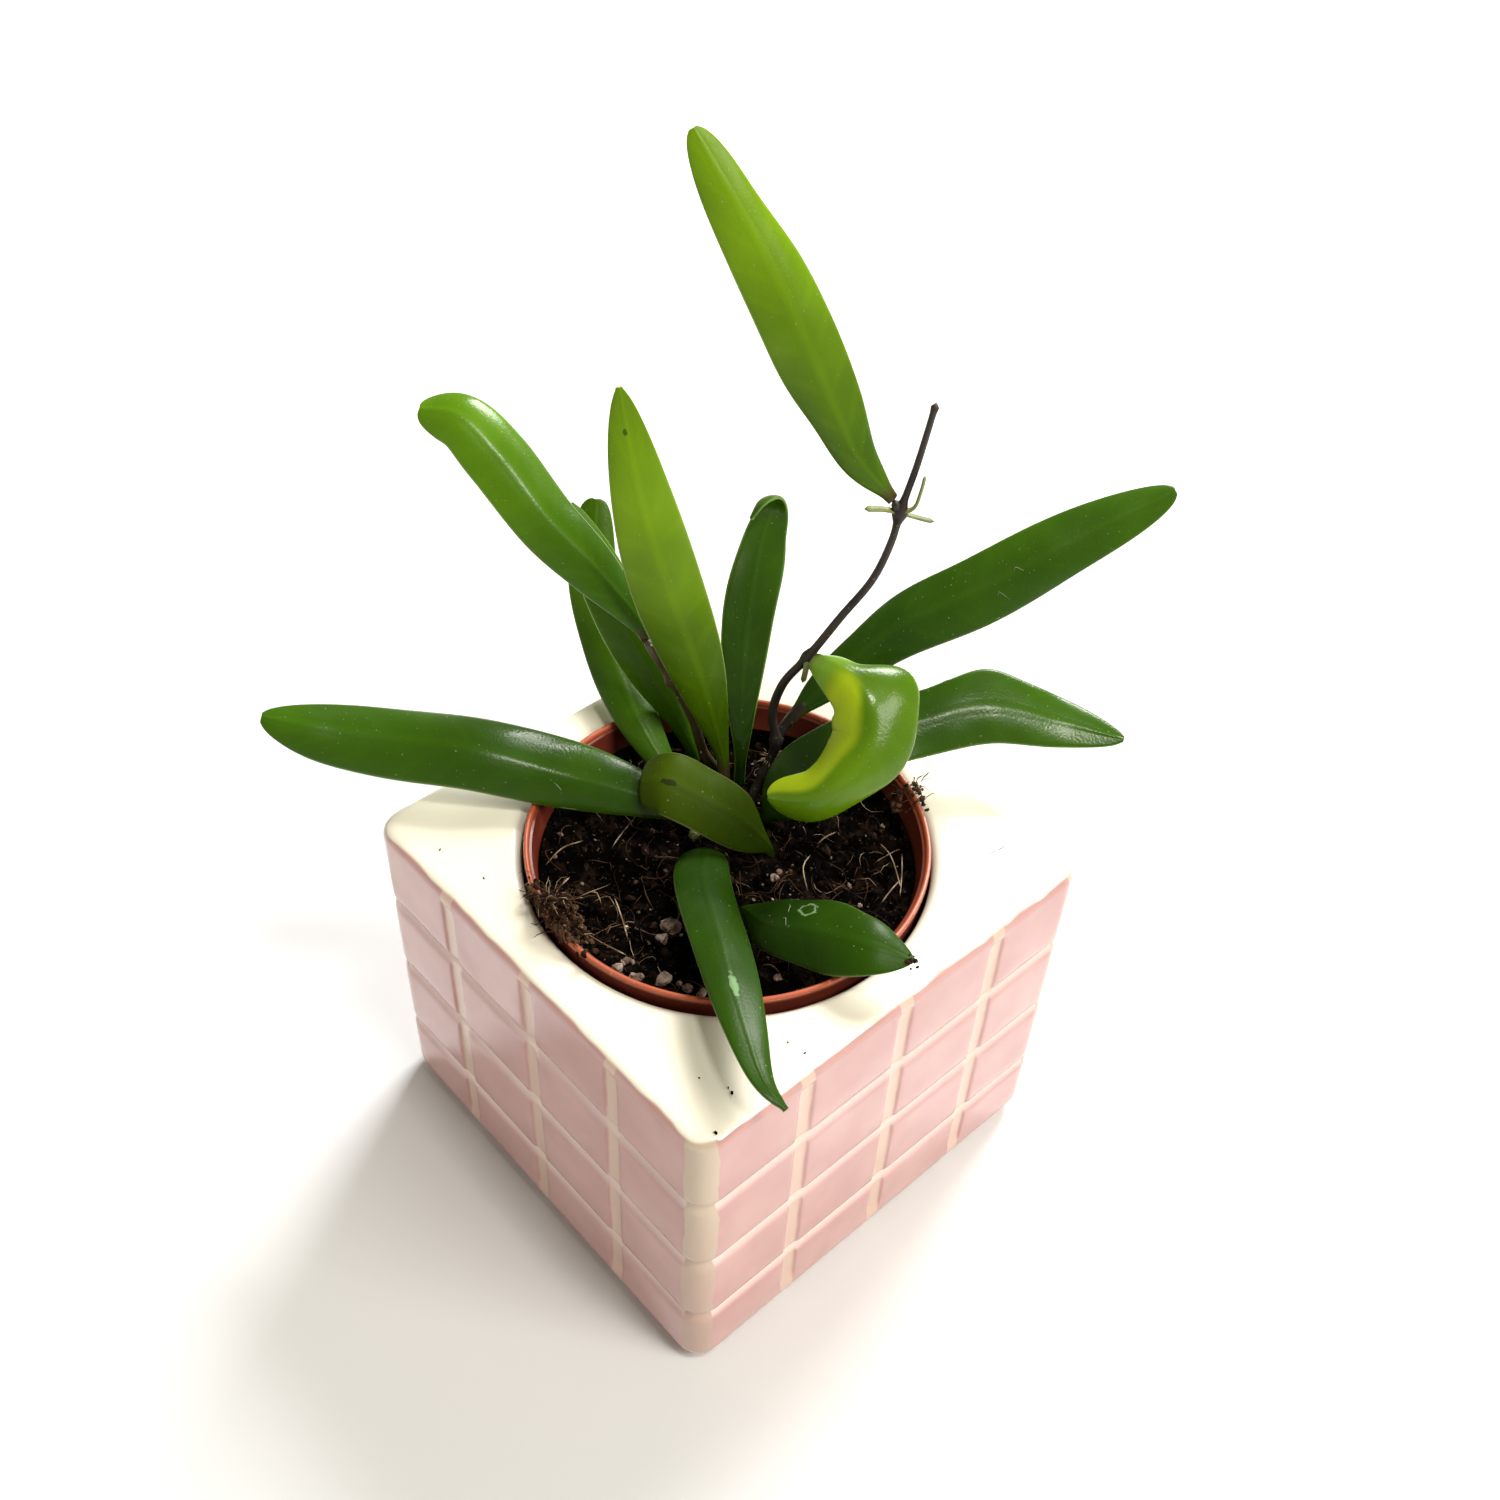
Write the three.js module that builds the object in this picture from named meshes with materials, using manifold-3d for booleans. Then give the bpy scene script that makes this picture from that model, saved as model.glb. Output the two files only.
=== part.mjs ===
// Potted hoya loheri: a leafy plant in a nursery pot, standing in a square tiled planter.
// Millimetres, +Z up. The origin is the middle of the planter's underside.
import * as THREE from "three";
import { mergeVertices } from "three/addons/utils/BufferGeometryUtils.js";
import Module from "manifold-3d";

const wasm = await Module();
wasm.setup();

// Driving sizes of the planter
const PLANTER_HALF = 43.5;
const PLANTER_HEIGHT = 71;
const TILE_ROWS = 4;
const TILE_COLUMNS = 4;
const CORNER_RADIUS = 4.6;
const CORNER_STEPS = 3;
const BASE_ROUNDING = 4.5;
const TOP_ROUNDING = 1.8;
const GROOVE_DEPTH = 0.9;
const GROOVE_HALF = 1.3;
const JOINT_WIDTH = 3;
const JOINT_DEPTH = 0.6;
const WALL = 5;
const FLOOR = 6;
const TOP_PLATE = 5;
const HOLE_RADIUS = 35.4;
const HOLE_FILLET = 2.4;

// Driving sizes of the nursery pot and its soil
const CLEARANCE = 0.3;
const ROUND_SIDES = 44;
const POT_RADIUS = 34.8;
const POT_TOP = 73;
const POT_BASE_RADIUS = 24;
const RIM_BAND = 6.5;
const RIM_STEP = 2.2;
const POT_WALL = 1.2;
const DRAIN_HOLES = 6;
const DRAIN_RADIUS = 2.2;
const SOIL_TOP = 65.6;
const STEM_DEPTH = 7;

// Driving sizes of the plant
const LEAF_EDGE = 0.8;
const LEAF_MIDDLE = 1.9;
const STALK_WIDTH = 2;
const STEM_SIDES = 8;
const ACROSS = 6;
const STALK_STATIONS = 4;
const BLADE_STATIONS = 12;
const PLANT_TURN = Math.PI / 4;

// Finishes
const finish = (color, roughness) => new THREE.MeshStandardMaterial({ color, roughness, metalness: 0 });
const glaze = finish("#d3b3b0", 0.15);
const terracotta = finish("#a8432a", 0.45);
const pottingMix = finish("#1e1612", 0.95);
const bark = finish("#33241f", 0.6);
const greenStem = finish("#3f6a1c", 0.5);
const limeLeaf = finish("#6e9a0c", 0.35);
const midLeaf = finish("#3f7f10", 0.3);
const darkLeaf = finish("#25540f", 0.3);
const oliveLeaf = finish("#5a6020", 0.45);

// A closed three.js geometry as a solid that can be joined and cut
function solidOf(geometry) {
  const bare = geometry.index ? geometry.clone() : geometry;
  bare.deleteAttribute("normal");
  bare.deleteAttribute("uv");
  const merged = mergeVertices(bare, 1e-4);
  return new wasm.Manifold(new wasm.Mesh({
    numProp: 3,
    vertProperties: new Float32Array(merged.attributes.position.array),
    triVerts: new Uint32Array(merged.index.array),
  }));
}

// A solid as a named piece
function pieceOf(name, solid, material) {
  const { vertProperties, triVerts } = solid.getMesh();
  const geometry = new THREE.BufferGeometry();
  geometry.setAttribute("position", new THREE.BufferAttribute(vertProperties, 3));
  geometry.setIndex(new THREE.BufferAttribute(triVerts, 1));
  geometry.computeVertexNormals();
  const mesh = new THREE.Mesh(geometry, material);
  mesh.name = name;
  return mesh;
}

// The main body of a solid: loose scraps and the skins of sealed pockets go
const largest = (solid) => solid.decompose().sort((a, b) => b.volume() - a.volume())[0];
const join = (solids) => largest(solids.reduce((whole, next) => whole.add(next)));
const points = (list) => list.map(([x, y]) => new THREE.Vector2(x, y));
const curveThrough = (list) => new THREE.CatmullRomCurve3(list.map((p) => new THREE.Vector3(...p)));

// Rings of points, lowest first, joined into one closed skin with flat ends
function skinOf(rings) {
  const count = rings[0].length;
  const positions = rings.flat().flatMap((p) => [p.x, p.y, p.z]);
  const index = [];
  for (let k = 0; k + 1 < rings.length; k += 1) {
    for (let i = 0; i < count; i += 1) {
      const a = k * count + i;
      const b = k * count + ((i + 1) % count);
      index.push(a, b, b + count, a, b + count, a + count);
    }
  }
  const last = (rings.length - 1) * count;
  for (let i = 1; i + 1 < count; i += 1) {
    index.push(0, i + 1, i, last, last + i, last + i + 1);
  }
  const geometry = new THREE.BufferGeometry();
  geometry.setAttribute("position", new THREE.BufferAttribute(new Float32Array(positions), 3));
  geometry.setIndex(index);
  return geometry;
}

// A square ring with rounded corners, drawn in by an inset
function squareRing(half, radius, z) {
  const ring = [];
  const reach = half - radius;
  for (let corner = 0; corner < 4; corner += 1) {
    const start = (corner * Math.PI) / 2;
    const middle = start + Math.PI / 4;
    const cx = Math.sign(Math.cos(middle)) * reach;
    const cy = Math.sign(Math.sin(middle)) * reach;
    for (let step = 0; step <= CORNER_STEPS; step += 1) {
      const angle = start + (step / CORNER_STEPS) * (Math.PI / 2);
      ring.push(new THREE.Vector3(cx + radius * Math.cos(angle), cy + radius * Math.sin(angle), z));
    }
  }
  return ring;
}

// The planter's outer profile as height and inset: rounded foot, a groove between rows, rounded top
function planterProfile() {
  const profile = [];
  for (const turn of [0, 0.25, 0.5, 0.75, 1]) {
    const angle = (turn * Math.PI) / 2;
    profile.push([BASE_ROUNDING * (1 - Math.cos(angle)), BASE_ROUNDING * (1 - Math.sin(angle))]);
  }
  for (let row = 1; row < TILE_ROWS; row += 1) {
    const z = (row * PLANTER_HEIGHT) / TILE_ROWS;
    profile.push([z - GROOVE_HALF, 0]);
    profile.push([z - GROOVE_HALF / 3, GROOVE_DEPTH]);
    profile.push([z + GROOVE_HALF / 3, GROOVE_DEPTH]);
    profile.push([z + GROOVE_HALF, 0]);
  }
  for (const turn of [0, 0.5, 1]) {
    const angle = (turn * Math.PI) / 2;
    const z = PLANTER_HEIGHT - TOP_ROUNDING * (1 - Math.sin(angle));
    profile.push([z, TOP_ROUNDING * (1 - Math.cos(angle))]);
  }
  return profile;
}

// The opening for the pot, with a rounded lip, and the hollow below it
function planterHollow() {
  const top = PLANTER_HEIGHT;
  const lip = [];
  for (let step = 0; step <= 4; step += 1) {
    const angle = (step / 4) * (Math.PI / 2);
    const radius = HOLE_RADIUS + HOLE_FILLET * (1 - Math.cos(angle));
    lip.push([radius, top - HOLE_FILLET + HOLE_FILLET * Math.sin(angle)]);
  }
  const outline = [[0, top - TOP_PLATE - 1], [HOLE_RADIUS, top - TOP_PLATE - 1], ...lip];
  outline.push([HOLE_RADIUS + HOLE_FILLET, top + 1], [0, top + 1]);
  const hole = new THREE.LatheGeometry(points(outline), ROUND_SIDES).rotateX(Math.PI / 2);
  const inside = PLANTER_HALF - WALL;
  const floorRing = squareRing(inside, CORNER_RADIUS, FLOOR);
  const plateRing = squareRing(inside, CORNER_RADIUS, top - TOP_PLATE);
  return solidOf(hole).add(solidOf(skinOf([floorRing, plateRing])));
}

function planter() {
  const rings = planterProfile().map(([z, inset]) => squareRing(
    PLANTER_HALF - inset,
    CORNER_RADIUS - inset / 2,
    z,
  ));
  let body = solidOf(skinOf(rings)).subtract(planterHollow());
  const pitch = (2 * PLANTER_HALF) / TILE_COLUMNS;
  for (let side = 0; side < 4; side += 1) {
    for (let column = 1; column < TILE_COLUMNS; column += 1) {
      const height = PLANTER_HEIGHT - TOP_ROUNDING - BASE_ROUNDING;
      const slot = new THREE.BoxGeometry(JOINT_WIDTH, 2 * JOINT_DEPTH, height);
      slot.translate(column * pitch - PLANTER_HALF, PLANTER_HALF, BASE_ROUNDING + height / 2);
      slot.rotateZ((side * Math.PI) / 2);
      body = body.subtract(solidOf(slot));
    }
  }
  return pieceOf("planter", body, glaze);
}

// The nursery pot's wall: outline of the outside and the inside, from the base up
const potBase = FLOOR + CLEARANCE;
const bandFoot = POT_TOP - RIM_BAND;
const wallTop = POT_RADIUS - RIM_STEP;
const potOutside = [
  [POT_BASE_RADIUS - 1.2, potBase],
  [POT_BASE_RADIUS, potBase + 1.2],
  [wallTop, bandFoot - 1],
  [POT_RADIUS - 0.6, bandFoot],
  [POT_RADIUS - 0.1, bandFoot + 3],
  [POT_RADIUS, POT_TOP - 0.6],
  [POT_RADIUS - 0.5, POT_TOP],
];
const potInside = [
  [POT_RADIUS - 1.1, POT_TOP],
  [POT_RADIUS - 1.5, POT_TOP - 0.6],
  [POT_RADIUS - 1.7, bandFoot + 1],
  [wallTop - POT_WALL, bandFoot - 0.8],
  [POT_BASE_RADIUS - POT_WALL, potBase + 1.8],
];
const potFloorTop = potBase + 1.8;

// An outline turned about the upright axis
const turned = (outline, sides) => new THREE.LatheGeometry(points(outline), sides).rotateX(Math.PI / 2);

function nurseryPot() {
  const outline = [[0, potBase], ...potOutside, ...potInside, [0, potFloorTop]];
  let body = solidOf(turned(outline, ROUND_SIDES));
  for (let hole = 0; hole < DRAIN_HOLES; hole += 1) {
    const angle = (hole / DRAIN_HOLES) * 2 * Math.PI;
    const drain = new THREE.CylinderGeometry(DRAIN_RADIUS, DRAIN_RADIUS, 8, 12).rotateX(Math.PI / 2);
    drain.translate(14 * Math.cos(angle), 14 * Math.sin(angle), potBase);
    body = body.subtract(solidOf(drain));
  }
  return pieceOf("nursery_pot", body, terracotta);
}

// Low mounds in the soil's surface
function soilBump(x, y) {
  const broad = 0.45 * Math.sin(0.19 * x + 0.8) * Math.cos(0.23 * y - 0.5);
  const lumps = 0.35 * Math.sin(0.61 * x - 0.33 * y) + 0.25 * Math.sin(0.47 * y + 0.71 * x + 2);
  return broad + lumps;
}

// The same numbers on every run
function seededNumbers(seed) {
  let state = seed;
  return () => {
    state = (state * 16807) % 2147483647;
    return state / 2147483647;
  };
}

const crumb = (x, y, z, size) => solidOf(new THREE.IcosahedronGeometry(size, 0)
  .rotateZ(x + y)
  .rotateX(y)
  .scale(1, 1, 0.8)
  .translate(x, y, z));

// Stems and leaf stalks that stand in the soil: place and hole radius
const rooted = [
  { at: [3.4, 15.8], radius: 1.5 },
  { at: [-2.7, 21.9], radius: 1.5 },
  { at: [0.6, 13.4], radius: 1.1 },
  { at: [-1.6, 17], radius: 1.8 },
  { at: [4, 5.3], radius: 1.8 },
  { at: [7.2, 3.6], radius: 1.8 },
  { at: [-8, 15.6], radius: 1.8 },
  { at: [-7.7, 24.6], radius: 1.8 },
  { at: [1, 19.8], radius: 1.8 },
  { at: [6.2, 11.6], radius: 1.8 },
  { at: [-3.4, 2.4], radius: 1.8 },
  { at: [3.4, -10.6], radius: 1.8 },
];

function soil() {
  const foot = potFloorTop + CLEARANCE;
  const outline = [[0, foot], [POT_BASE_RADIUS - POT_WALL - CLEARANCE, foot]];
  outline.push([wallTop - POT_WALL - CLEARANCE, bandFoot - 1.2]);
  const topRadius = POT_RADIUS - 1.8 - CLEARANCE;
  outline.push([topRadius, bandFoot + 0.6]);
  for (const share of [0.85, 0.68, 0.5, 0.33, 0.16]) {
    outline.push([topRadius * share, SOIL_TOP]);
  }
  outline.push([0, SOIL_TOP]);
  const geometry = turned(outline, 30);
  const place = geometry.attributes.position;
  for (let i = 0; i < place.count; i += 1) {
    if (place.getZ(i) > SOIL_TOP - 0.1) {
      place.setZ(i, SOIL_TOP + soilBump(place.getX(i), place.getY(i)));
    }
  }
  let body = solidOf(geometry);

  const draw = seededNumbers(11);
  for (let i = 0; i < 34; i += 1) {
    const radius = 14 + 16.5 * Math.sqrt(draw());
    const angle = i * 2.39996 + 0.3 * draw();
    const size = 0.9 + 1.3 * draw();
    const x = radius * Math.cos(angle);
    const y = radius * Math.sin(angle);
    body = body.add(crumb(x, y, SOIL_TOP + soilBump(x, y), size));
  }
  // Clumps that spill over the rim, left front and right back
  const rimCrumb = (degrees, radius, z, size) => {
    const angle = THREE.MathUtils.degToRad(degrees);
    body = body.add(crumb(radius * Math.cos(angle), radius * Math.sin(angle), z, size));
  };
  for (let i = 0; i < 9; i += 1) {
    const lift = 0.5 + 0.5 * Math.sin(((i + 0.5) / 9) * Math.PI);
    rimCrumb(203 + 3.2 * i, 31.4, 69 + 3 * lift, 2.6);
    rimCrumb(203 + 3.2 * i, 34.4, 73.2 + lift, 1.7 + 0.6 * lift);
  }
  for (let i = 0; i < 3; i += 1) {
    rimCrumb(18 + 3.4 * i, 31.4, 69.6, 2.6);
    rimCrumb(18 + 3.4 * i, 33, 72.6, 1.9);
    rimCrumb(18 + 3.4 * i, 34.9, 74.2, 1.5);
  }
  // The crumbs keep clear of the pot's wall and rim
  const grown = [
    ...potOutside.slice(1).map(([r, z]) => [r + CLEARANCE, z]),
    [POT_RADIUS - 0.2, POT_TOP + CLEARANCE],
    [POT_RADIUS - 1.2, POT_TOP + CLEARANCE],
    ...potInside.slice(1).map(([r, z]) => [r - CLEARANCE, z]),
  ];
  grown.push(grown[0]);
  body = body.subtract(solidOf(turned(grown, ROUND_SIDES)));
  for (const { at, radius } of rooted) {
    const hole = new THREE.CylinderGeometry(radius, radius, 20, 10).rotateX(Math.PI / 2);
    hole.translate(at[0], at[1], SOIL_TOP - STEM_DEPTH - 0.5 + 10);
    body = body.subtract(solidOf(hole));
  }
  return pieceOf("soil", largest(body), pottingMix);
}

const roundOutline = (radius) => [...Array(STEM_SIDES).keys()].map((i) => {
  const angle = (2 * Math.PI * i) / STEM_SIDES;
  return [radius * Math.cos(angle), radius * Math.sin(angle)];
});

// A round stem along a curve
function stem(list, radius) {
  const section = new THREE.Shape(points(roundOutline(radius)));
  const curve = curveThrough(list);
  const steps = Math.max(4, Math.round(curve.getLength() / 2.6));
  return solidOf(new THREE.ExtrudeGeometry(section, { steps, extrudePath: curve }));
}

const knot = ([x, y, z], radius) => solidOf(new THREE.SphereGeometry(radius, 8, 6)
  .rotateX(Math.PI / 2)
  .translate(x, y, z));

// A leaf: a stalk that widens into a thick blade along a curved midrib.
// face is where the upper side looks at the middle of the leaf, droop is how far each margin
// falls below the midrib as a share of the half width, skew widens one half of the blade, and
// wave is the height of the waved margin. A lobe is a hand, a place along, a growth and a reach.
function leafSkin(spec) {
  const { spine, face, width, stalk } = spec;
  const { widest = 0.55, tip = 0.6, base = 1.2, droop = [0.22, 0.22], wave = 0.5 } = spec;
  const { across = ACROSS, stations = BLADE_STATIONS, skew = [1, 1], lobes = [] } = spec;
  const { ripples = 1.6, phase = 0, edge = LEAF_EDGE, middle = LEAF_MIDDLE, neck = STALK_WIDTH } = spec;
  const curve = curveThrough(spine);
  curve.arcLengthDivisions = 400;
  const stalkShare = stalk / curve.getLength();
  const shares = [];
  for (let i = 0; i < STALK_STATIONS; i += 1) {
    shares.push((stalkShare * i) / STALK_STATIONS);
  }
  for (let i = 0; i <= stations; i += 1) {
    shares.push(stalkShare + (1 - stalkShare) * (i / stations));
  }

  // Which way the upper side looks, carried along the midrib without twist from its middle
  const tangents = shares.map((share) => curve.getTangentAt(share));
  const flatten = (vector, tangent) => vector.clone()
    .addScaledVector(tangent, -vector.dot(tangent))
    .normalize();
  const centre = STALK_STATIONS + Math.round(stations / 2);
  const ups = [];
  ups[centre] = flatten(new THREE.Vector3(...face), tangents[centre]);
  for (let i = centre + 1; i < shares.length; i += 1) {
    ups[i] = flatten(ups[i - 1], tangents[i]);
  }
  for (let i = centre - 1; i >= 0; i -= 1) {
    ups[i] = flatten(ups[i + 1], tangents[i]);
  }

  const rings = shares.map((share, i) => {
    const along = Math.max(0, (share - stalkShare) / (1 - stalkShare));
    const rise = Math.sin((Math.PI / 2) * Math.min(1, along / widest)) ** base;
    const fall = along < widest ? 1 : Math.sin((Math.PI / 2) * ((1 - along) / (1 - widest))) ** tip;
    const ripple = 1 + 0.035 * Math.sin(2 * Math.PI * (ripples * along + phase));
    const open = neck / 2 + (width / 2 - neck / 2) * rise * ripple;
    const half = Math.max(0.45, open) * Math.max(fall, 0.08);
    const bladeShare = Math.min(1, (2 * half) / width);
    const up = ups[i];
    const side = new THREE.Vector3().crossVectors(up, tangents[i]);
    const centrePoint = curve.getPointAt(share);
    const top = [];
    const bottom = [];
    for (let j = 0; j <= across; j += 1) {
      const s = -1 + (2 * j) / across;
      const thick = edge + (middle * Math.max(fall, 0.5) - edge) * (1 - s * s);
      const swing = wave * bladeShare * s * s * Math.sin(2 * Math.PI * (ripples * along + phase + 0.2 * s));
      const hand = s < 0 ? 0 : 1;
      let reach = half * THREE.MathUtils.lerp(1, skew[hand], bladeShare);
      for (const [lobeHand, at, growth, span] of lobes) {
        reach += lobeHand === hand ? growth * Math.exp(-(((along - at) / span) ** 2)) : 0;
      }
      const lift = -droop[hand] * half * s * s + swing;
      const mid = centrePoint.clone().addScaledVector(side, reach * s).addScaledVector(up, lift);
      top.push(mid.clone().addScaledVector(up, thick / 2));
      bottom.push(mid.clone().addScaledVector(up, -thick / 2));
    }
    return [...top, ...bottom.reverse()];
  });
  return bladeSkin(rings, across);
}

// Rings across a blade, upper side first, as one closed skin whose two faces are split alike
function bladeSkin(rings, across) {
  const count = 2 * (across + 1);
  const positions = rings.flat().flatMap((p) => [p.x, p.y, p.z]);
  const index = [];
  const upper = (i, j) => i * count + j;
  const lower = (i, j) => i * count + count - 1 - j;
  const last = rings.length - 1;
  for (let i = 0; i < last; i += 1) {
    for (let j = 0; j < across; j += 1) {
      index.push(upper(i, j), upper(i + 1, j), upper(i + 1, j + 1));
      index.push(upper(i, j), upper(i + 1, j + 1), upper(i, j + 1));
      index.push(lower(i, j), lower(i + 1, j + 1), lower(i + 1, j));
      index.push(lower(i, j), lower(i, j + 1), lower(i + 1, j + 1));
    }
    index.push(upper(i, 0), lower(i, 0), lower(i + 1, 0), upper(i, 0), lower(i + 1, 0), upper(i + 1, 0));
    index.push(upper(i, across), upper(i + 1, across), lower(i + 1, across));
    index.push(upper(i, across), lower(i + 1, across), lower(i, across));
  }
  for (let j = 0; j < across; j += 1) {
    index.push(upper(0, j), upper(0, j + 1), lower(0, j + 1), upper(0, j), lower(0, j + 1), lower(0, j));
    index.push(upper(last, j), lower(last, j + 1), upper(last, j + 1));
    index.push(upper(last, j), lower(last, j), lower(last, j + 1));
  }
  const geometry = new THREE.BufferGeometry();
  geometry.setAttribute("position", new THREE.BufferAttribute(new Float32Array(positions), 3));
  geometry.setIndex(index);
  return geometry;
}

const leaf = (spec) => pieceOf(spec.name, solidOf(leafSkin(spec)), spec.material);
const buried = SOIL_TOP - STEM_DEPTH;

// Every leaf of the plant, by its midrib from stalk to tip
const leaves = [
  {
    name: "shoot_top_leaf",
    material: limeLeaf,
    spine: [
      [23, 21.7, 129.4], [20.7, 22, 131.8], [16.5, 22.5, 136.6], [11.8, 24, 145.5],
      [6.2, 26, 156.7], [-0.8, 29, 168.8], [-6.3, 31, 177.1], [-10, 33, 182.4],
    ],
    face: [0.15, -0.8, 0.58],
    width: 11.4,
    lobes: [[0, 0.78, -1.1, 0.13], [1, 0.22, -1.1, 0.13]],
    stalk: 2.2,
    widest: 0.45,
    base: 0.75,
    tip: 0.42,
  },
  {
    name: "centre_leaf",
    material: limeLeaf,
    spine: [
      [-1.6, 17, buried], [-1.6, 17, 66], [-2, 19.6, 70.5], [-5.9, 22, 86.2],
      [-12.6, 25, 105.8], [-17.4, 28, 121.8], [-21.1, 33, 139.7],
    ],
    face: [0.1, -0.8, 0.58],
    width: 12.8,
    lobes: [[1, 0.75, -0.7, 0.15]],
    stalk: 13,
    widest: 0.5,
  },
  {
    name: "upper_left_leaf",
    material: midLeaf,
    spine: [
      [-16.1, 24.9, 94.3], [-18.7, 26.8, 98.3], [-25.9, 31, 104.8], [-33.6, 35, 110.8],
      [-43.1, 42, 119], [-50.1, 46, 123.6], [-56.8, 47, 123.7],
    ],
    face: [0.2, -0.5, 0.84],
    width: 12,
    lobes: [[1, 0.93, 0.9, 0.06]],
    stalk: 2,
    droop: [0.3, 0.3],
    widest: 0.6,
    tip: 0.33,
    base: 0.7,
  },
  {
    name: "long_left_leaf",
    material: darkLeaf,
    spine: [
      [4, 5.3, buried], [4, 5.3, 66], [-5.2, 5, 72.5], [-15.7, 6, 75.2],
      [-29.7, 8, 77.3], [-45.2, 9, 80.8], [-60.8, 10.4, 80.9], [-81, 10.4, 84.2],
    ],
    face: [0, -0.4, 0.92],
    width: 13.6,
    lobes: [[0, 0.32, 1.9, 0.2], [1, 0.9, 0.7, 0.1]],
    stalk: 14,
    droop: [0.35, 0.35],
    widest: 0.6,
    tip: 0.45,
  },
  {
    name: "short_olive_leaf",
    material: oliveLeaf,
    spine: [
      [7.2, 3.6, buried], [7.2, 3.6, 66], [1.9, 3.5, 73.4], [-5.1, 4.5, 77.6],
      [-11.2, 5.5, 79.8], [-15.4, 6.5, 78],
    ],
    face: [0, -0.4, 0.92],
    width: 11.8,
    lobes: [[0, 0.1, -1.2, 0.15], [1, 0.15, 0.5, 0.2]],
    stalk: 8.5,
    base: 0.75,
    tip: 0.12,
    widest: 0.55,
  },
  {
    name: "back_round_leaf",
    material: midLeaf,
    spine: [
      [-8, 15.6, buried], [-8, 15.6, 66], [-13.2, 19, 71.2], [-19.6, 27.6, 76.4],
      [-25.2, 40.8, 79.7], [-28.8, 50, 88.3], [-28.8, 58, 98.9],
    ],
    face: [0.2, -0.8, 0.55],
    width: 10.4,
    stalk: 9.5,
    base: 0.9,
    skew: [1, 0.94],
    tip: 0.28,
    wave: 0.3,
  },
  {
    name: "back_left_leaf",
    material: darkLeaf,
    spine: [
      [-7.7, 24.6, buried], [-7.7, 24.6, 66], [-11.2, 26.8, 74.6], [-18.4, 30, 87.8],
      [-24.9, 35, 99.6], [-30.8, 41, 110.5],
    ],
    face: [0.3, -0.75, 0.6],
    width: 9.6,
    base: 1.5,
    stalk: 9,
  },
  {
    name: "back_hooked_leaf",
    material: darkLeaf,
    spine: [
      [1, 19.8, buried], [1, 19.8, 66], [1, 22, 73.2], [0.4, 29, 82.7], [0.9, 38, 93.8],
      [2.2, 45, 101.9], [3.6, 47.6, 106.4], [3.4, 47.4, 109.4], [1.8, 45.2, 109.8],
      [0.4, 43.8, 107.2],
    ],
    face: [0.1, -0.8, 0.55],
    width: 9.8,
    lobes: [[0, 0.66, 0.5, 0.12], [1, 0.72, -1, 0.15]],
    stations: 16,
    stalk: 12,
    droop: [-0.2, -0.2],
    tip: 0.75,
    wave: 0.3,
  },
  {
    name: "upper_right_leaf",
    material: midLeaf,
    spine: [
      [8.5, 20.7, 79.8], [10.5, 22, 82.3], [15.9, 25, 87.7], [25.7, 30, 95.3],
      [40.7, 35, 101.8], [57.2, 41, 109.8], [72.7, 46, 117.2],
    ],
    face: [-0.1, -0.65, 0.75],
    width: 12.7,
    lobes: [[1, 0.22, -1.1, 0.1], [0, 0.72, -0.6, 0.15]],
    stalk: 4,
    tip: 0.42,
    widest: 0.5,
    base: 0.72,
  },
  {
    name: "curled_leaf",
    material: limeLeaf,
    spine: [
      [12.6, 18.2, 98.6], [17.2, 13.6, 100.6], [21.9, 8.6, 99], [22.8, 3.9, 94.9],
      [19.4, -0.4, 91], [13.6, -2.8, 87.2], [6.4, -1.6, 85],
    ],
    face: [0.25, -0.5, 0.83],
    width: 15.6,
    lobes: [
      [0, 0.05, 1.6, 0.09], [0, 0.15, 0.9, 0.08], [0, 0.36, 2.9, 0.2], [0, 0.6, 1.2, 0.15],
      [1, 0.18, -1.4, 0.07], [1, 0.29, 2.8, 0.08], [1, 0.7, -4.9, 0.21],
    ],
    skew: [0.45, 1.3],
    stalk: 1,
    droop: [0.5, 0.3],
    widest: 0.6,
    tip: 0.42,
    wave: 0.3,
  },
  {
    name: "lower_right_leaf",
    material: darkLeaf,
    spine: [
      [6.2, 11.6, buried], [6.2, 11.6, 66], [11.8, 12.4, 75], [20.1, 16, 80.5],
      [32.2, 21, 82.7], [44.4, 24.4, 83.9], [56.6, 23.6, 82.3], [68.2, 21.2, 81.3],
    ],
    face: [0, -0.5, 0.87],
    width: 13,
    lobes: [[1, 0.655, 1.2, 0.05], [1, 0.12, 1.6, 0.1], [0, 0.08, 1.4, 0.09], [1, 0.5, -0.6, 0.07]],
    stalk: 9,
    base: 0.42,
    tip: 0.55,
    droop: [0.1, 0.1],
  },
  {
    name: "front_leaf",
    material: darkLeaf,
    spine: [
      [-3.4, 2.4, buried], [-3.4, 2.4, 66], [-3.4, -9.8, 72], [0.2, -25.5, 76.5],
      [4.7, -43.2, 79.5], [8.5, -53.5, 79], [11.8, -56.7, 77.5],
    ],
    face: [0.22, -0.35, 0.9],
    width: 10.6,
    stalk: 8,
    widest: 0.4,
    base: 0.38,
    tip: 0.7,
    droop: [0.15, 0.15],
    lobes: [[0, 0.1, 0.8, 0.1], [0, 0.62, -0.8, 0.2]],
  },
  {
    name: "front_right_leaf",
    material: darkLeaf,
    spine: [
      [3.4, -10.6, buried], [3.4, -10.6, 66], [8, -18, 72], [16.1, -22.2, 76.1],
      [24, -26.4, 78.7], [30.7, -28, 77.6],
    ],
    face: [0, -0.3, 0.95],
    width: 13.6,
    lobes: [[0, 0.45, -0.7, 0.3], [1, 0.22, 1.2, 0.12], [1, 0.7, -0.9, 0.12]],
    stalk: 9,
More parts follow.
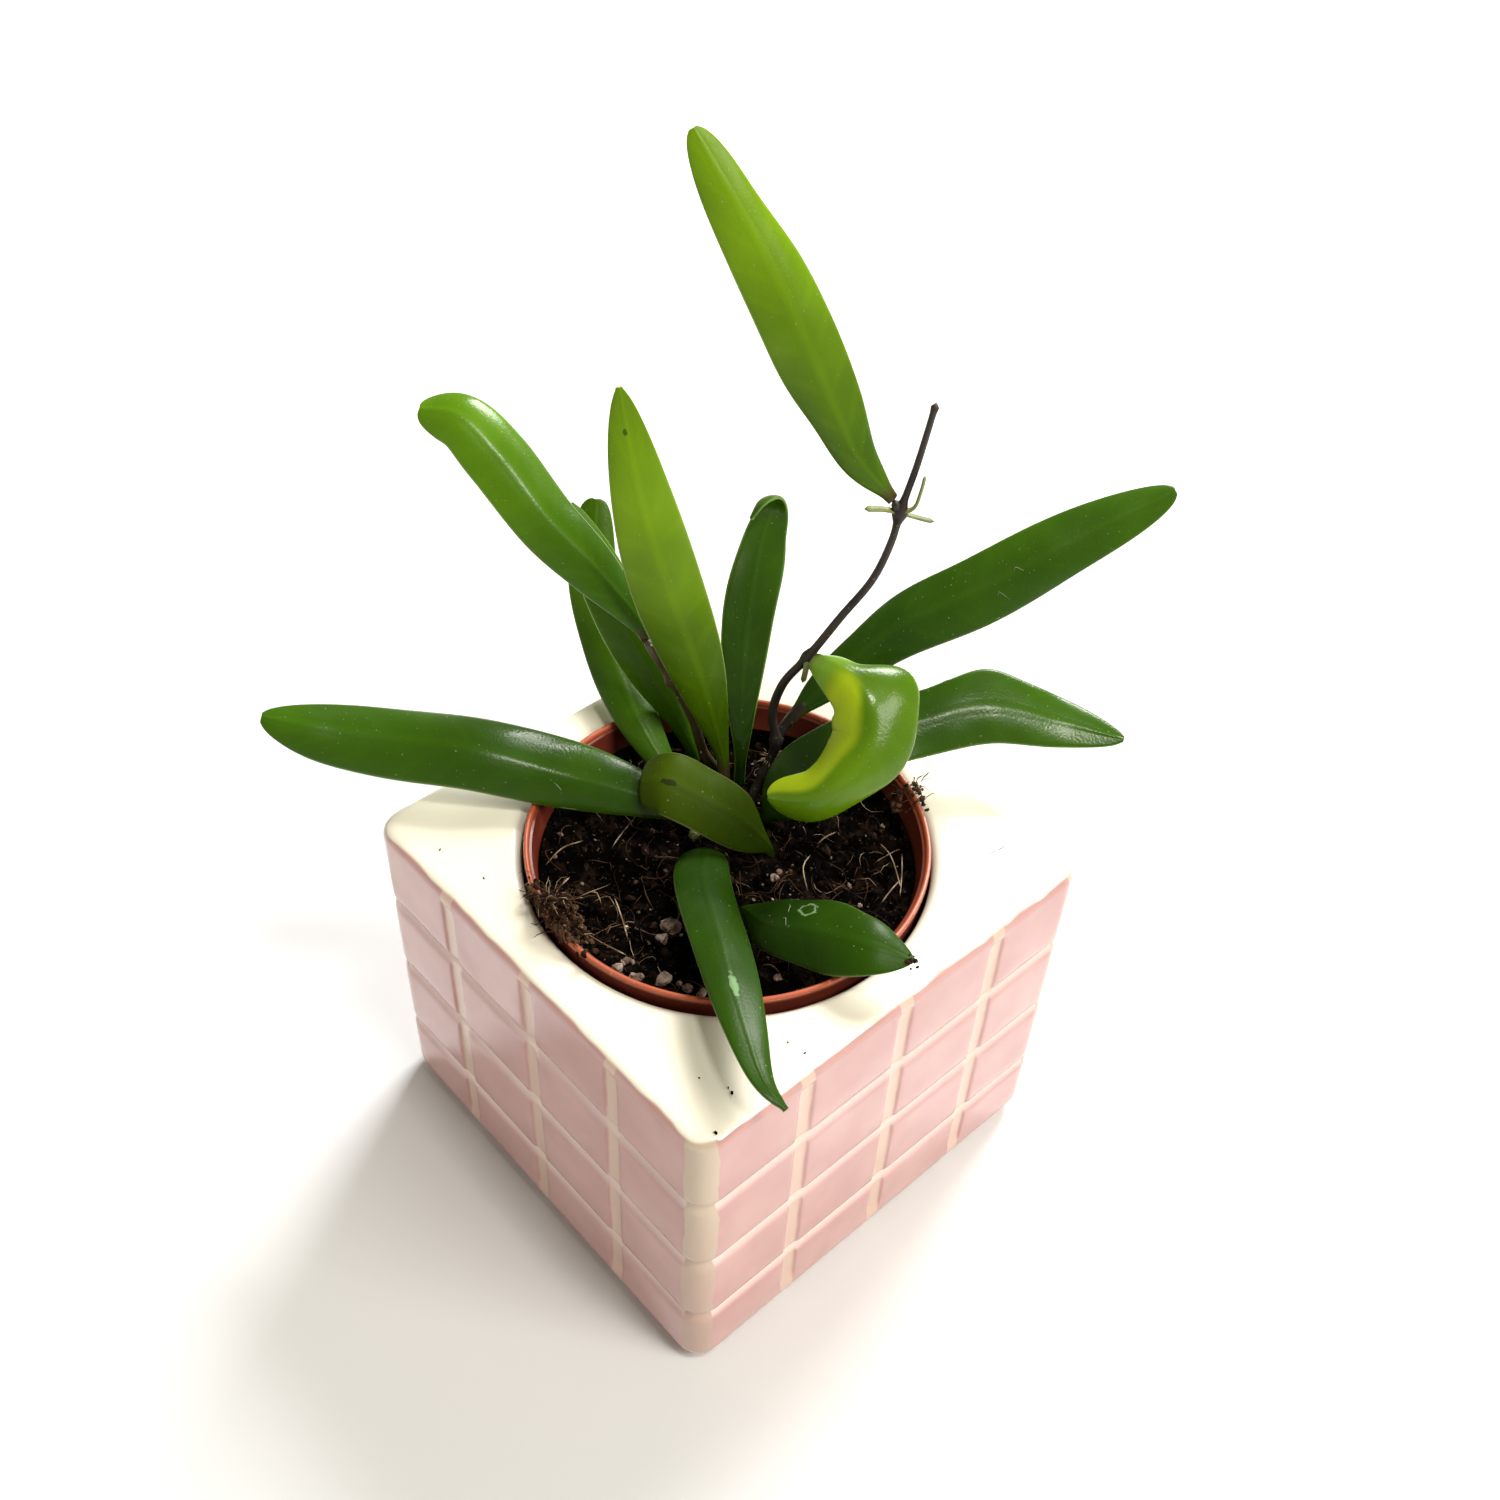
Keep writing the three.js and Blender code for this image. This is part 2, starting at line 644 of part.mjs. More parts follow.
    tip: 0.65,
  },
];

// The climbing shoot: three lengths between knots, a torn stalk, and the scale leaves at the top
function vine() {
  const forkKnot = [7.2, 19, 78];
  const middleKnot = [11.6, 20, 97.2];
  const topKnot = [24.2, 22, 127];
  const lower = [
    [3.4, 15.8, buried], [3.4, 15.8, 66], [5.4, 17.5, 70.8],
    forkKnot, [6.2, 20, 82.9], [7.7, 20, 90.6], middleKnot,
  ];
  const upper = [middleKnot, [16.6, 20, 106.7], [21.1, 21, 114.1], [23.5, 22, 121.5], topKnot];
  const tipStem = [topKnot, [26, 23, 135.3], [27.9, 25, 145.7]];
  const tornStalk = [middleKnot, [11.4, 18.6, 95.6], [11, 18.4, 92.6]];
  const scales = [
    { spine: [topKnot, [20.8, 21, 128], [18.4, 20.4, 128.4]], width: 1.8 },
    { spine: [topKnot, [27.4, 21.4, 126.4], [29.8, 21.4, 126]], width: 1.6 },
    { spine: [topKnot, [26.8, 21.6, 130], [27.4, 22, 134.4]], width: 2.2 },
  ];
  const scaleForm = { face: [0, -0.7, 0.7], stalk: 0.6, edge: 0.6, middle: 0.8, neck: 1, wave: 0 };
  const fewer = { across: 2, stations: 4 };
  const blades = scales.map((scale) => solidOf(leafSkin({ ...scale, ...scaleForm, ...fewer })));
  return pieceOf("vine", join([
    stem(lower, 0.95),
    stem(upper, 0.85),
    stem(tipStem, 0.6),
    stem(tornStalk, 0.55),
    knot([5.4, 17.5, 70.8], 1.3),
    knot(forkKnot, 1.35),
    knot(middleKnot, 1.25),
    knot(topKnot, 1.5),
    knot([27.9, 25, 145.7], 0.75),
    ...blades,
  ]), bark);
}

function sideStem() {
  const node = [-11.7, 24, 86.2];
  const path = [
    [-2.7, 21.9, buried], [-2.7, 21.9, 66], [-5.3, 22, 69.6], [-7.7, 23, 77.3], node, [-15.4, 24, 93.4],
  ];
  return pieceOf("side_stem", join([stem(path, 0.9), knot(node, 1.4)]), bark);
}

function cutStub() {
  const path = [[0.6, 13.4, buried], [0.6, 13.4, 66], [0.4, 12.8, 70.4]];
  return pieceOf("cut_stub", stem(path, 0.7), greenStem);
}

const potted = new THREE.Group();
potted.rotation.z = PLANT_TURN;
potted.add(nurseryPot(), soil(), vine(), sideStem(), cutStub(), ...leaves.map(leaf));

const whole = new THREE.Group();
whole.add(planter(), potted);
export default whole;
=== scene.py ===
# %% [markdown]
# # A potted hoya in a tiled planter
# This notebook dresses a measured model of a small house plant. The plant stands in a thin plastic
# nursery pot, and the pot stands in a square glazed planter. The measured model gives every place
# and size. Each cell below makes one piece or one finish and says how it could be done.

# %% Load the measured model
import math
import random

import bmesh
import bpy
from mathutils import Euler, Matrix, Vector, noise


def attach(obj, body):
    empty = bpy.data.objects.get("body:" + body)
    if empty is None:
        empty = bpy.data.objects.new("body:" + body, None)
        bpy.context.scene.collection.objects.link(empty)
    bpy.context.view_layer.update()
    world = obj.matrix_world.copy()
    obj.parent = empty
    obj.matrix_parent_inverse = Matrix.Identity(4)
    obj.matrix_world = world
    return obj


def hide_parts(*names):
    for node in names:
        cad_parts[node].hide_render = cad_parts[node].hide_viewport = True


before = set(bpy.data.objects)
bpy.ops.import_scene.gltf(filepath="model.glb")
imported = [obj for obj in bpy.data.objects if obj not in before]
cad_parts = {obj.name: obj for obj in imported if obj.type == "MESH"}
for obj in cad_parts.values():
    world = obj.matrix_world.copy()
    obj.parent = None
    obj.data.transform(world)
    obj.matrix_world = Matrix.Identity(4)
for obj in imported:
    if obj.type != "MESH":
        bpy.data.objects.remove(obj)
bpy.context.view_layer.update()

print("pieces in the model:", len(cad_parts))

# %% [markdown]
# ## Millimetres from the viewer's side
# Blender works in metres. A plant is easier to think of in millimetres as the viewer sees it: how
# far right, how far away and how high. The planter stands on its corner to the viewer, so a place
# is turned by 45 degrees about the upright axis and then scaled.

# %% A place in millimetres
MM = 0.001
PLANT_TURN = Matrix.Rotation(math.radians(45), 3, "Z")


def spot(right, away, up):
    """A place as the viewer sees it, in millimetres, as a point of the scene."""
    return PLANT_TURN @ Vector((right, away, up)) * MM


def aim(right, away, up):
    """A direction as the viewer sees it."""
    return (PLANT_TURN @ Vector((right, away, up))).normalized()


print("front corner of the planter:", spot(0, -61.5, 71))

# %% [markdown]
# ## The camera
# The picture looks down on the planter from about 30 centimetres away, 45 degrees below the
# level. A camera is placed by its eye point, the way it looks and the way that is up in the
# picture. The lens is a little longer than a normal one.

# %% Camera
EYE = spot(5.9, -192.5, 287.2)
LOOK = aim(-0.0108, 0.7060, -0.7081)
PICTURE_UP = aim(-0.0634, 0.7062, 0.7051)
LENS_MM = 40.4

camera_data = bpy.data.cameras.new("camera")
camera_data.sensor_width = 36
camera_data.lens = LENS_MM
camera_data.clip_start = 0.01
camera = bpy.data.objects.new("camera", camera_data)
picture_right = LOOK.cross(PICTURE_UP).normalized()
axes = Matrix((picture_right, picture_right.cross(LOOK), -LOOK)).transposed()
camera.matrix_world = Matrix.Translation(EYE) @ axes.to_4x4()
bpy.context.scene.collection.objects.link(camera)
bpy.context.scene.camera = camera
print("camera", [round(1000 * c) for c in EYE], "mm")

# %% [markdown]
# ## Light
# The leaves carry long soft highlights where they face the back, and they throw pale shadows
# towards the viewer and to the left. So the main light is a wide panel behind the plant on the
# right. A weaker panel at the front right keeps the shadows open, a small lamp overhead sets the
# bright spots on the level leaves, and a warm world gives the glaze something to mirror. The world
# is pale near the level and dim overhead, so that the leaves carry no milky veil. The Standard
# view keeps white as white.

# %% Light panels and world
PLANT_MIDDLE = spot(0, 10, 90)


def panel(name, right, away, up, distance, size, watts, tint=(1.0, 1.0, 1.0)):
    """A square light panel that looks at the plant."""
    light = bpy.data.lights.new(name, "AREA")
    light.size = size
    light.energy = watts
    light.color = tint
    lamp = bpy.data.objects.new(name, light)
    way = aim(right, away, up)
    turn = way.to_track_quat("Z", "Y").to_matrix().to_4x4()
    lamp.matrix_world = Matrix.Translation(PLANT_MIDDLE + way * distance) @ turn
    bpy.context.scene.collection.objects.link(lamp)


WARM_ROOM = (1.0, 0.94, 0.76, 1.0)
# Height of the direction at which the dimming starts and ends, then the strengths there
ROOM_DIMMING = (0.1, 0.75, 0.66, 0.24)

panel("main_panel", 0.35, 0.75, 0.75, 1.6, 0.6, 38.0, (1.0, 0.98, 0.94))
panel("right_panel", 0.75, -0.35, 0.75, 1.7, 0.7, 18.0, (1.0, 0.95, 0.84))
panel("ceiling_lamp", 0.25, -0.22, 0.93, 1.9, 0.28, 13.0, (1.0, 0.97, 0.86))

bpy.context.scene.view_settings.view_transform = "Standard"
world = bpy.data.worlds.new("pale_room")
bpy.context.scene.world = world
world.use_nodes = True
room = world.node_tree
background = room.nodes["Background"]
background.inputs["Color"].default_value = WARM_ROOM
way_out = room.nodes.new("ShaderNodeTexCoord")
way_axes = room.nodes.new("ShaderNodeSeparateXYZ")
dimming = room.nodes.new("ShaderNodeMapRange")
for dimming_socket, value in zip(dimming.inputs[1:5], ROOM_DIMMING):
    dimming_socket.default_value = value
room.links.new(way_out.outputs["Generated"], way_axes.inputs[0])
room.links.new(way_axes.outputs[2], dimming.inputs[0])
room.links.new(dimming.outputs[0], background.inputs["Strength"])

# %% [markdown]
# ## Nodes by name
# Every finish here is a small net of nodes that ends in the Principled shader. One helper adds a
# node and feeds its inputs in order. What comes out of a node can be added, multiplied and so on
# like a number, and each such sum adds its own node. A few more helpers name the steps that come
# back often: a blend of two colours, a soft step between two values, and a noise pattern.

# %% Helpers for finishes


def start_finish(name, **shader_values):
    """A new material with its Principled shader, whose plain values are set by name."""
    finish = bpy.data.materials.new(name)
    finish.use_nodes = True
    tree = finish.node_tree
    shader = tree.nodes["Principled BSDF"]
    for socket, value in shader_values.items():
        shader.inputs[socket.replace("_", " ")].default_value = value
    return finish, tree, shader


class Value:
    """What comes out of a node. A sum with it adds the node that works the sum out."""

    def __init__(self, tree, socket):
        self.tree = tree
        self.socket = socket

    def calc(self, operation, *others):
        return add(self.tree, "Math", self, *others, operation=operation)

    def __add__(self, other):
        return self.calc("ADD", other)

    def __sub__(self, other):
        return self.calc("SUBTRACT", other)

    def __rsub__(self, other):
        return add(self.tree, "Math", other, self, operation="SUBTRACT")

    def __mul__(self, other):
        return self.calc("MULTIPLY", other)

    def __truediv__(self, other):
        return self.calc("DIVIDE", other)

    def __abs__(self):
        return self.calc("ABSOLUTE")

    def scaled(self, factor, plus):
        """The value times a factor, plus another value, in one node."""
        return self.calc("MULTIPLY_ADD", factor, plus)

    def smaller(self, other):
        return self.calc("MINIMUM", other)

    def larger(self, other):
        return self.calc("MAXIMUM", other)


def feed(socket, source):
    """Links a value to a socket, or sets the socket. A colour is a tuple of three numbers."""
    if isinstance(source, Value):
        source.tree.links.new(source.socket, socket)
    else:
        socket.default_value = (*source, 1.0) if isinstance(source, tuple) else source


def add(tree, kind, *sources, out=0, **settings):
    """Adds a node, feeds its inputs in order and gives back one of its outputs."""
    new = tree.nodes.new("ShaderNode" + kind)
    for key, value in settings.items():
        setattr(new, key, value)
    for socket, source in zip(new.inputs, sources):
        feed(socket, source)
    return Value(tree, new.outputs[out])


def soft_step(value, start, end):
    """0 below start, 1 above end, and smooth between them. Start may be the larger one."""
    return add(value.tree, "MapRange", value, start, end, 0.0, 1.0, interpolation_type="SMOOTHSTEP")


def blend(share, first, second):
    """A mix of two colours, each a value or three numbers."""
    tree = next(part.tree for part in (share, first, second) if isinstance(part, Value))
    mix = tree.nodes.new("ShaderNodeMix")
    mix.data_type = "RGBA"
    for number, source in ((0, share), (6, first), (7, second)):
        feed(mix.inputs[number], source)
    return Value(tree, mix.outputs[2])


def cloud(place, scale, detail, stretch=None):
    """Noise from about 0 to 1. Stretch squeezes the pattern along the axes."""
    if stretch:
        mapping = place.tree.nodes.new("ShaderNodeMapping")
        mapping.inputs["Scale"].default_value = stretch
        feed(mapping.inputs["Vector"], place)
        place = Value(place.tree, mapping.outputs[0])
    pattern = place.tree.nodes.new("ShaderNodeTexNoise")
    pattern.inputs["Scale"].default_value = scale
    pattern.inputs["Detail"].default_value = detail
    feed(pattern.inputs["Vector"], place)
    return Value(place.tree, pattern.outputs[0])


def object_place(tree):
    """The place on the piece, in metres."""
    return add(tree, "TexCoord", out=3)


def axes_of(place):
    """The three numbers of a place."""
    split = place.tree.nodes.new("ShaderNodeSeparateXYZ")
    feed(split.inputs[0], place)
    return [Value(place.tree, axis) for axis in split.outputs]


def relief(shader, height, distance, strength):
    """Lets a height pattern bend the shading."""
    bump = height.tree.nodes.new("ShaderNodeBump")
    bump.inputs["Distance"].default_value = distance
    bump.inputs["Strength"].default_value = strength
    feed(bump.inputs["Height"], height)
    earlier = shader.inputs["Normal"].links
    if earlier:
        feed(bump.inputs["Normal"], Value(height.tree, earlier[0].from_socket))
    feed(shader.inputs["Normal"], Value(height.tree, bump.outputs[0]))


print("helpers ready")

# %% [markdown]
# ## Pieces from bmesh
# A piece is first shaped as a bmesh, then turned into an object that rides on the body of the
# model and stands for one of its solids. The helpers below do those steps in one place, so each
# piece only has to describe its shape.

# %% Helpers for pieces


def as_object(name, bm, finishes, smooth=True):
    """Turns a bmesh into an object with its finishes."""
    mesh = bpy.data.meshes.new(name)
    bm.to_mesh(mesh)
    bm.free()
    made = bpy.data.objects.new(name, mesh)
    bpy.context.scene.collection.objects.link(made)
    for finish in finishes:
        mesh.materials.append(finish)
    mesh.polygons.foreach_set("use_smooth", [smooth] * len(mesh.polygons))
    return made


def as_piece(name, bm, finishes, stands_for=(), smooth=True):
    """Turns a bmesh into a finished piece that rides on the model's body."""
    piece = as_object(name, bm, finishes, smooth)
    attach(piece, "root")
    if stands_for:
        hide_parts(*stands_for)
    return piece


def subdivide(piece, levels):
    """A live Subdivision Surface with the same level on screen and in the render."""
    modifier = piece.modifiers.new("rounder", "SUBSURF")
    modifier.levels = levels
    modifier.render_levels = levels


def curve_through(stops, steps=16):
    """Closely spaced points on a smooth line through the stops."""
    ends = [2 * stops[0] - stops[1], *stops, 2 * stops[-1] - stops[-2]]
    line = []
    for a, b, c, d in zip(ends, ends[1:], ends[2:], ends[3:]):
        before, here, after = ((q - p).length ** 0.5 for p, q in ((a, b), (b, c), (c, d)))
        leave = ((b - a) / before - (c - a) / (before + here) + (c - b) / here) * here
        arrive = ((c - b) / here - (d - b) / (here + after) + (d - c) / after) * here
        for step in range(steps):
            t = step / steps
            point = b * (2 * t**3 - 3 * t**2 + 1) + c * (3 * t**2 - 2 * t**3)
            line.append(point + leave * (t**3 - 2 * t**2 + t) + arrive * (t**3 - t**2))
    return [*line, stops[-1]]


def walk(line, shares):
    """Points and directions at shares of the line's length."""
    lengths = [0.0]
    for a, b in zip(line, line[1:]):
        lengths.append(lengths[-1] + (b - a).length)
    points = []
    headings = []
    leg = 0
    for share in shares:
        goal = min(share, 1.0) * lengths[-1]
        while leg + 2 < len(line) and lengths[leg + 1] < goal:
            leg += 1
        part = (goal - lengths[leg]) / max(lengths[leg + 1] - lengths[leg], 1e-9)
        points.append(line[leg].lerp(line[leg + 1], part))
        headings.append((line[leg + 1] - line[leg]).normalized())
    return points, headings


def square_to(vector, heading):
    """The part of a vector that is square to a heading."""
    return (vector - heading * vector.dot(heading)).normalized()


def ring_edges(verts):
    return list({edge for vert in verts for edge in vert.link_edges})


def extrude_ring(bm, edges):
    """Extrudes a closed row of edges and gives back the new points and the new row."""
    grown = bmesh.ops.extrude_edge_only(bm, edges=edges)["geom"]
    verts = [part for part in grown if isinstance(part, bmesh.types.BMVert)]
    new_edges = [part for part in grown if isinstance(part, bmesh.types.BMEdge)]
    members = set(verts)
    return verts, [edge for edge in new_edges if members.issuperset(edge.verts)]


def grow_tube(bm, points, headings, radii, sides, flat=1.0):
    """Draws a ring out along points into a closed round stem. Flat squeezes its cross-section."""
    up = square_to(Vector((0.31, 0.17, 0.93)), headings[0])
    rings = []
    for point, heading, radius in zip(points, headings, radii):
        up = square_to(up, heading)
        side = up.cross(heading)
        spread = Matrix((side * radius, up * radius * flat, heading * radius)).transposed().to_4x4()
        rings.append(Matrix.Translation(point) @ spread)
    start = bmesh.ops.create_circle(bm, segments=sides, radius=1.0, matrix=rings[0])["verts"]
    edges = ring_edges(start)
    ring_verts = start
    for earlier, later in zip(rings, rings[1:]):
        ring_verts, edges = extrude_ring(bm, edges)
        bmesh.ops.transform(bm, matrix=later @ earlier.inverted(), verts=ring_verts)
    bmesh.ops.pointmerge(bm, verts=start, merge_co=points[0])
    bmesh.ops.pointmerge(bm, verts=ring_verts, merge_co=points[-1])


def grow_stem(bm, stops, radius, knots=(), sides=12, step=0.9, ends=(0.55, 0.55), flat=1.0, thin=1.0):
    """A stem through stops in millimetres. Each knot is a place, a growth and a reach."""
    line = curve_through([spot(*stop) for stop in stops])
    length = sum((b - a).length for a, b in zip(line, line[1:])) / MM
    count = max(3, round(length / step))
    shares = [i / count for i in range(count + 1)]
    points, headings = walk(line, shares)
    radii = []
    for share, point in zip(shares, points):
        grown = radius * (1 + (thin - 1) * share)
        for place, growth, reach in knots:
            grown += growth * math.exp(-(((point - spot(*place)).length / MM / reach) ** 2))
        radii.append(grown * MM)
    radii[0] *= ends[0]
    radii[-1] *= ends[1]
    grow_tube(bm, points, headings, radii, sides, flat)


print("piece helpers ready")

# %% [markdown]
# ## The floor
# The object stands on a plain pale sheet. A grid with a matt white finish is enough. It isn't part
# of the object.

# %% Floor
FLOOR_HALF = 6.0

floor_finish = start_finish("pale_sheet", Roughness=0.9, Base_Color=(0.75, 0.765, 0.80, 1.0))[0]
floor_bm = bmesh.new()
bmesh.ops.create_grid(floor_bm, x_segments=8, y_segments=8, size=FLOOR_HALF)
floor = as_object("floor", floor_bm, [floor_finish], smooth=False)
print("floor", 2 * FLOOR_HALF, "m wide")

# %% [markdown]
# ## Finish: the planter's glaze
# The planter is one ceramic casting with a pattern of tiles pressed into its walls. The maker
# brushed pink glaze on the tiles by hand and left the upright joints, the rounded corners and the
# top cream. The colour follows the place on the block: how high it is and how far along its wall.
# On a square block the smaller of |x| and |y| is the place along the wall, so no unwrapping is
# needed. A noise moves the borders a little, as a brush does. The glaze is thin at each tile's
# edge and lets the pale clay show. The paler ledge below each row groove is also a painted
# highlight, where the ledge faces up and catches the light. A dark line along each row groove is
# painted shade, and so is the darker foot of each cream corner stripe.

# %% Glaze
PLANTER_HALF = 43.5
PLANTER_HEIGHT = 71.0
TILE_ROWS = 4
TILE_WIDTH = 2 * PLANTER_HALF / 4
ROW_HEIGHT = PLANTER_HEIGHT / TILE_ROWS
JOINT_WIDTH = 3.0
CORNER_STRIPE_START = 39.6
TOP_EDGE = 70.55
PINK_DEEP = (0.52, 0.275, 0.265)
PINK_THIN = (0.76, 0.50, 0.46)
CREAM = (0.89, 0.86, 0.76)
CORNER_CREAM = (0.57, 0.45, 0.35)
JOINT_BEIGE = (0.67, 0.46, 0.38)
# Paler pink of the ledges: thin glaze and a painted highlight
LIT_LEDGE_PINK = (0.90, 0.72, 0.69)
CREAM_SHADE = (0.84, 0.79, 0.67)
# Painted shade at the foot of the corner stripes
CORNER_FOOT_SHADE = (0.52, 0.33, 0.28)
# Painted shade along the row grooves
CREASE_SHADE_BROWN = (0.24, 0.12, 0.10)
BARE_CLAY = (0.72, 0.66, 0.56)
FOOT_TOP = 5.0
WALL_INSIDE = 40.1
TOP_ROW_FOOT = 54.0


def glaze_finish():
    finish, tree, shader = start_finish("tile_glaze", Roughness=0.1, IOR=1.7)
    place = object_place(tree)
    x_mm, y_mm, height = (axis * 1000.0 for axis in axes_of(place))
    along = abs(x_mm).smaller(abs(y_mm))
    outward = abs(x_mm).larger(abs(y_mm))
    brush = cloud(place, 170.0, 1.0) - 0.5

    to_joint = along.smaller(abs(along - TILE_WIDTH))
    joint = soft_step(brush.scaled(0.6, to_joint), JOINT_WIDTH / 2 + 0.1, JOINT_WIDTH / 2 - 0.35)
    corner = soft_step(brush.scaled(1.6, along), CORNER_STRIPE_START - 0.2, CORNER_STRIPE_START + 0.2)
    top = soft_step(brush.scaled(0.8, height), TOP_EDGE - 0.2, TOP_EDGE + 0.2)
    above_foot = soft_step(height, FOOT_TOP, FOOT_TOP + 0.6)
    inside = soft_step(outward, WALL_INSIDE + 0.3, WALL_INSIDE - 0.3) * above_foot
    outside = soft_step(outward, WALL_INSIDE - 0.3, WALL_INSIDE + 0.3)

    to_row = ((PLANTER_HEIGHT - height) / ROW_HEIGHT).calc("FRACT") * ROW_HEIGHT
    below_top = soft_step(height, TOP_ROW_FOOT + 0.6, TOP_ROW_FOOT)
    # partly painted highlight: the ledge below each row groove is paler where it faces up into the light,
    # and the glaze is thin there
    edge = soft_step(to_row, 2.9, 0.9) * below_top
    mottle = soft_step(cloud(place, 70.0, 2.0), 0.3, 0.75)
    pink = blend(mottle * 0.3, PINK_DEEP, PINK_THIN)
    pink = blend(edge * 0.8, pink, LIT_LEDGE_PINK)
    top_colour = blend(cloud(place, 90.0, 1.0), CREAM, CREAM_SHADE)
    # painted shade: the cream corner stripe darkens towards the foot
    corner_colour = blend(soft_step(height, 58.0, 8.0) * 0.85, CORNER_CREAM, CORNER_FOOT_SHADE)
    joint_colour = blend(edge * 0.6, JOINT_BEIGE, LIT_LEDGE_PINK)
    wall_colour = blend(joint, pink, joint_colour)
    wall_colour = blend(corner, wall_colour, corner_colour)
    wall_colour = blend(top.larger(inside), wall_colour, top_colour)
    # painted shade: a dark brown line along each row groove, where the tile row above shades it
    crease_shade = soft_step(to_row.smaller(ROW_HEIGHT - to_row), 0.5, 0.1) * below_top * outside
    wall_colour = blend(crease_shade * 0.7, wall_colour, CREASE_SHADE_BROWN)
    bare = soft_step(height, 0.7, 0.3)
    feed(shader.inputs["Base Color"], blend(bare, wall_colour, BARE_CLAY))
    feed(shader.inputs["Roughness"], add(tree, "MapRange", bare, 0.0, 1.0, 0.1, 0.8))
    relief(shader, cloud(place, 95.0, 0.0), 0.0011, 0.4)
    return finish


glaze = glaze_finish()
print("finish", glaze.name)

# %% [markdown]
# ## Piece: the planter
# A slip-cast planter is a block with rounded edges, pressed grooves and a round well. A cube gives
# the walls: its standing edges are bevelled, its ends removed, and plane cuts are laid beside
# every groove and joint. Each wall point then moves in by the depth of the groove it lies in.
# The foot, the top and the well are drawn out of the two open ends by extruding, ring by ring.

# %% The relief on the walls
CORNER_RADIUS = 4.6
BASE_ROUNDING = 4.5
TOP_ROUNDING = 1.8
GROOVE_DEPTH = 1.6
GROOVE_ABOVE = 0.75
GROOVE_BELOW = 3.0
JOINT_DEPTH = 0.6
WALL = 5.0
WELL_FLOOR = 6.0
TOP_PLATE = 5.0
HOLE_RADIUS = 35.1
HOLE_FILLET = 2.2
CUTS_BESIDE_GROOVE = (-3.3, -2.6, -1.9, -1.2, -0.5, 0.0, 0.3, 0.55, 0.85)
CUTS_BESIDE_JOINT = (-2.1, -1.75, -1.45, -1.1, 1.1, 1.45, 1.75, 2.1)
CUTS_IN_TILE = (5.0, 8.0, 10.875, 13.75, 16.75)


def smooth_fall(distance, inner, outer):
    """1 up to inner, 0 past outer, smooth between."""
    share = min(1.0, max(0.0, (outer - distance) / (outer - inner)))
    return share * share * (3 - 2 * share)


def wall_outward(point):
    """The level direction in which the wall faces at a point."""
    core = PLANTER_HALF - CORNER_RADIUS
    x_mm, y_mm = point.x / MM, point.y / MM
    nearest = Vector((min(core, max(-core, x_mm)), min(core, max(-core, y_mm))))
    return (Vector((x_mm, y_mm)) - nearest).normalized().to_3d()


def wall_depth(point):
    """How deep the relief is at a point of the wall, in millimetres."""
    height = point.z / MM
    along = min(abs(point.x), abs(point.y)) / MM
    from_groove = min((height - row * ROW_HEIGHT for row in range(1, TILE_ROWS)), key=abs)
    groove_reach = GROOVE_ABOVE if from_groove > 0 else GROOVE_BELOW
    groove = GROOVE_DEPTH * max(0.0, 1 - abs(from_groove) / groove_reach) ** 1.45
    groove *= 1 - 0.45 * smooth_fall(-along, -41.0, -37.5)
    to_joint = min(along, abs(along - TILE_WIDTH))
    below_top = smooth_fall(height, PLANTER_HEIGHT - 3.4, PLANTER_HEIGHT - 2.4)
    above_foot = smooth_fall(-height, -7.0, -5.0)
    joint = JOINT_DEPTH * smooth_fall(to_joint, 1.2, 1.85) * below_top * above_foot
    return max(groove, joint)


def cut_walls(bm, place, facing):
    """Lays one plane cut through all walls."""
    geometry = bm.verts[:] + bm.edges[:] + bm.faces[:]
    bmesh.ops.bisect_plane(bm, geom=geometry, plane_co=place, plane_no=facing)


def planter_walls():
    bm = bmesh.new()
    bmesh.ops.create_cube(bm, size=1.0)
    size = Vector((2 * PLANTER_HALF, 2 * PLANTER_HALF, PLANTER_HEIGHT)) * MM
    bmesh.ops.scale(bm, vec=size, verts=bm.verts)
    bmesh.ops.translate(bm, vec=(0, 0, PLANTER_HEIGHT / 2 * MM), verts=bm.verts)
    standing = [e for e in bm.edges if abs(e.verts[0].co.z - e.verts[1].co.z) > MM]
    bmesh.ops.bevel(
        bm, geom=standing, offset=CORNER_RADIUS * MM, offset_type="OFFSET", segments=6,
        profile=0.5, affect="EDGES", material=-1,
    )
    ends = [f for f in bm.faces if abs(f.normal.z) > 0.9]
    bmesh.ops.delete(bm, geom=ends, context="FACES_ONLY")
    for vert in bm.verts:
        low = vert.co.z < PLANTER_HEIGHT / 2 * MM
        vert.co.z = (BASE_ROUNDING if low else PLANTER_HEIGHT - TOP_ROUNDING) * MM
    levels = [row * ROW_HEIGHT + cut for row in range(1, TILE_ROWS) for cut in CUTS_BESIDE_GROOVE]
    levels += [(row + share) * ROW_HEIGHT for row in range(TILE_ROWS) for share in (0.33, 0.5, 0.67)]
    levels += [7.0, 67.6, 68.4, 68.8]
    for level in levels:
        cut_walls(bm, (0, 0, level * MM), (0, 0, 1))
    columns = [joint * TILE_WIDTH + cut for joint in (-1, 0, 1) for cut in CUTS_BESIDE_JOINT]
    columns += [joint * TILE_WIDTH + cut for joint in (-2, -1, 0, 1) for cut in CUTS_IN_TILE]
    for column in columns:
        for axis in (Vector((1, 0, 0)), Vector((0, 1, 0))):
            cut_walls(bm, axis * column * MM, axis)
    for vert in bm.verts:
        vert.co -= wall_outward(vert.co) * wall_depth(vert.co) * MM
    return bm


print("groove depth", GROOVE_DEPTH, "mm, joint depth", JOINT_DEPTH, "mm")

# %% [markdown]
# The open ends are finished with one tool: take the ring of edges at the border, extrude it, and
# give every new point its height and its distance from the middle. On the foot and the top edge
# the ring keeps the planter's square shape. Past the flat top it becomes a circle. Below the top
# plate it becomes square again, because a casting has walls of even thickness.

# %% The foot, the top and the well


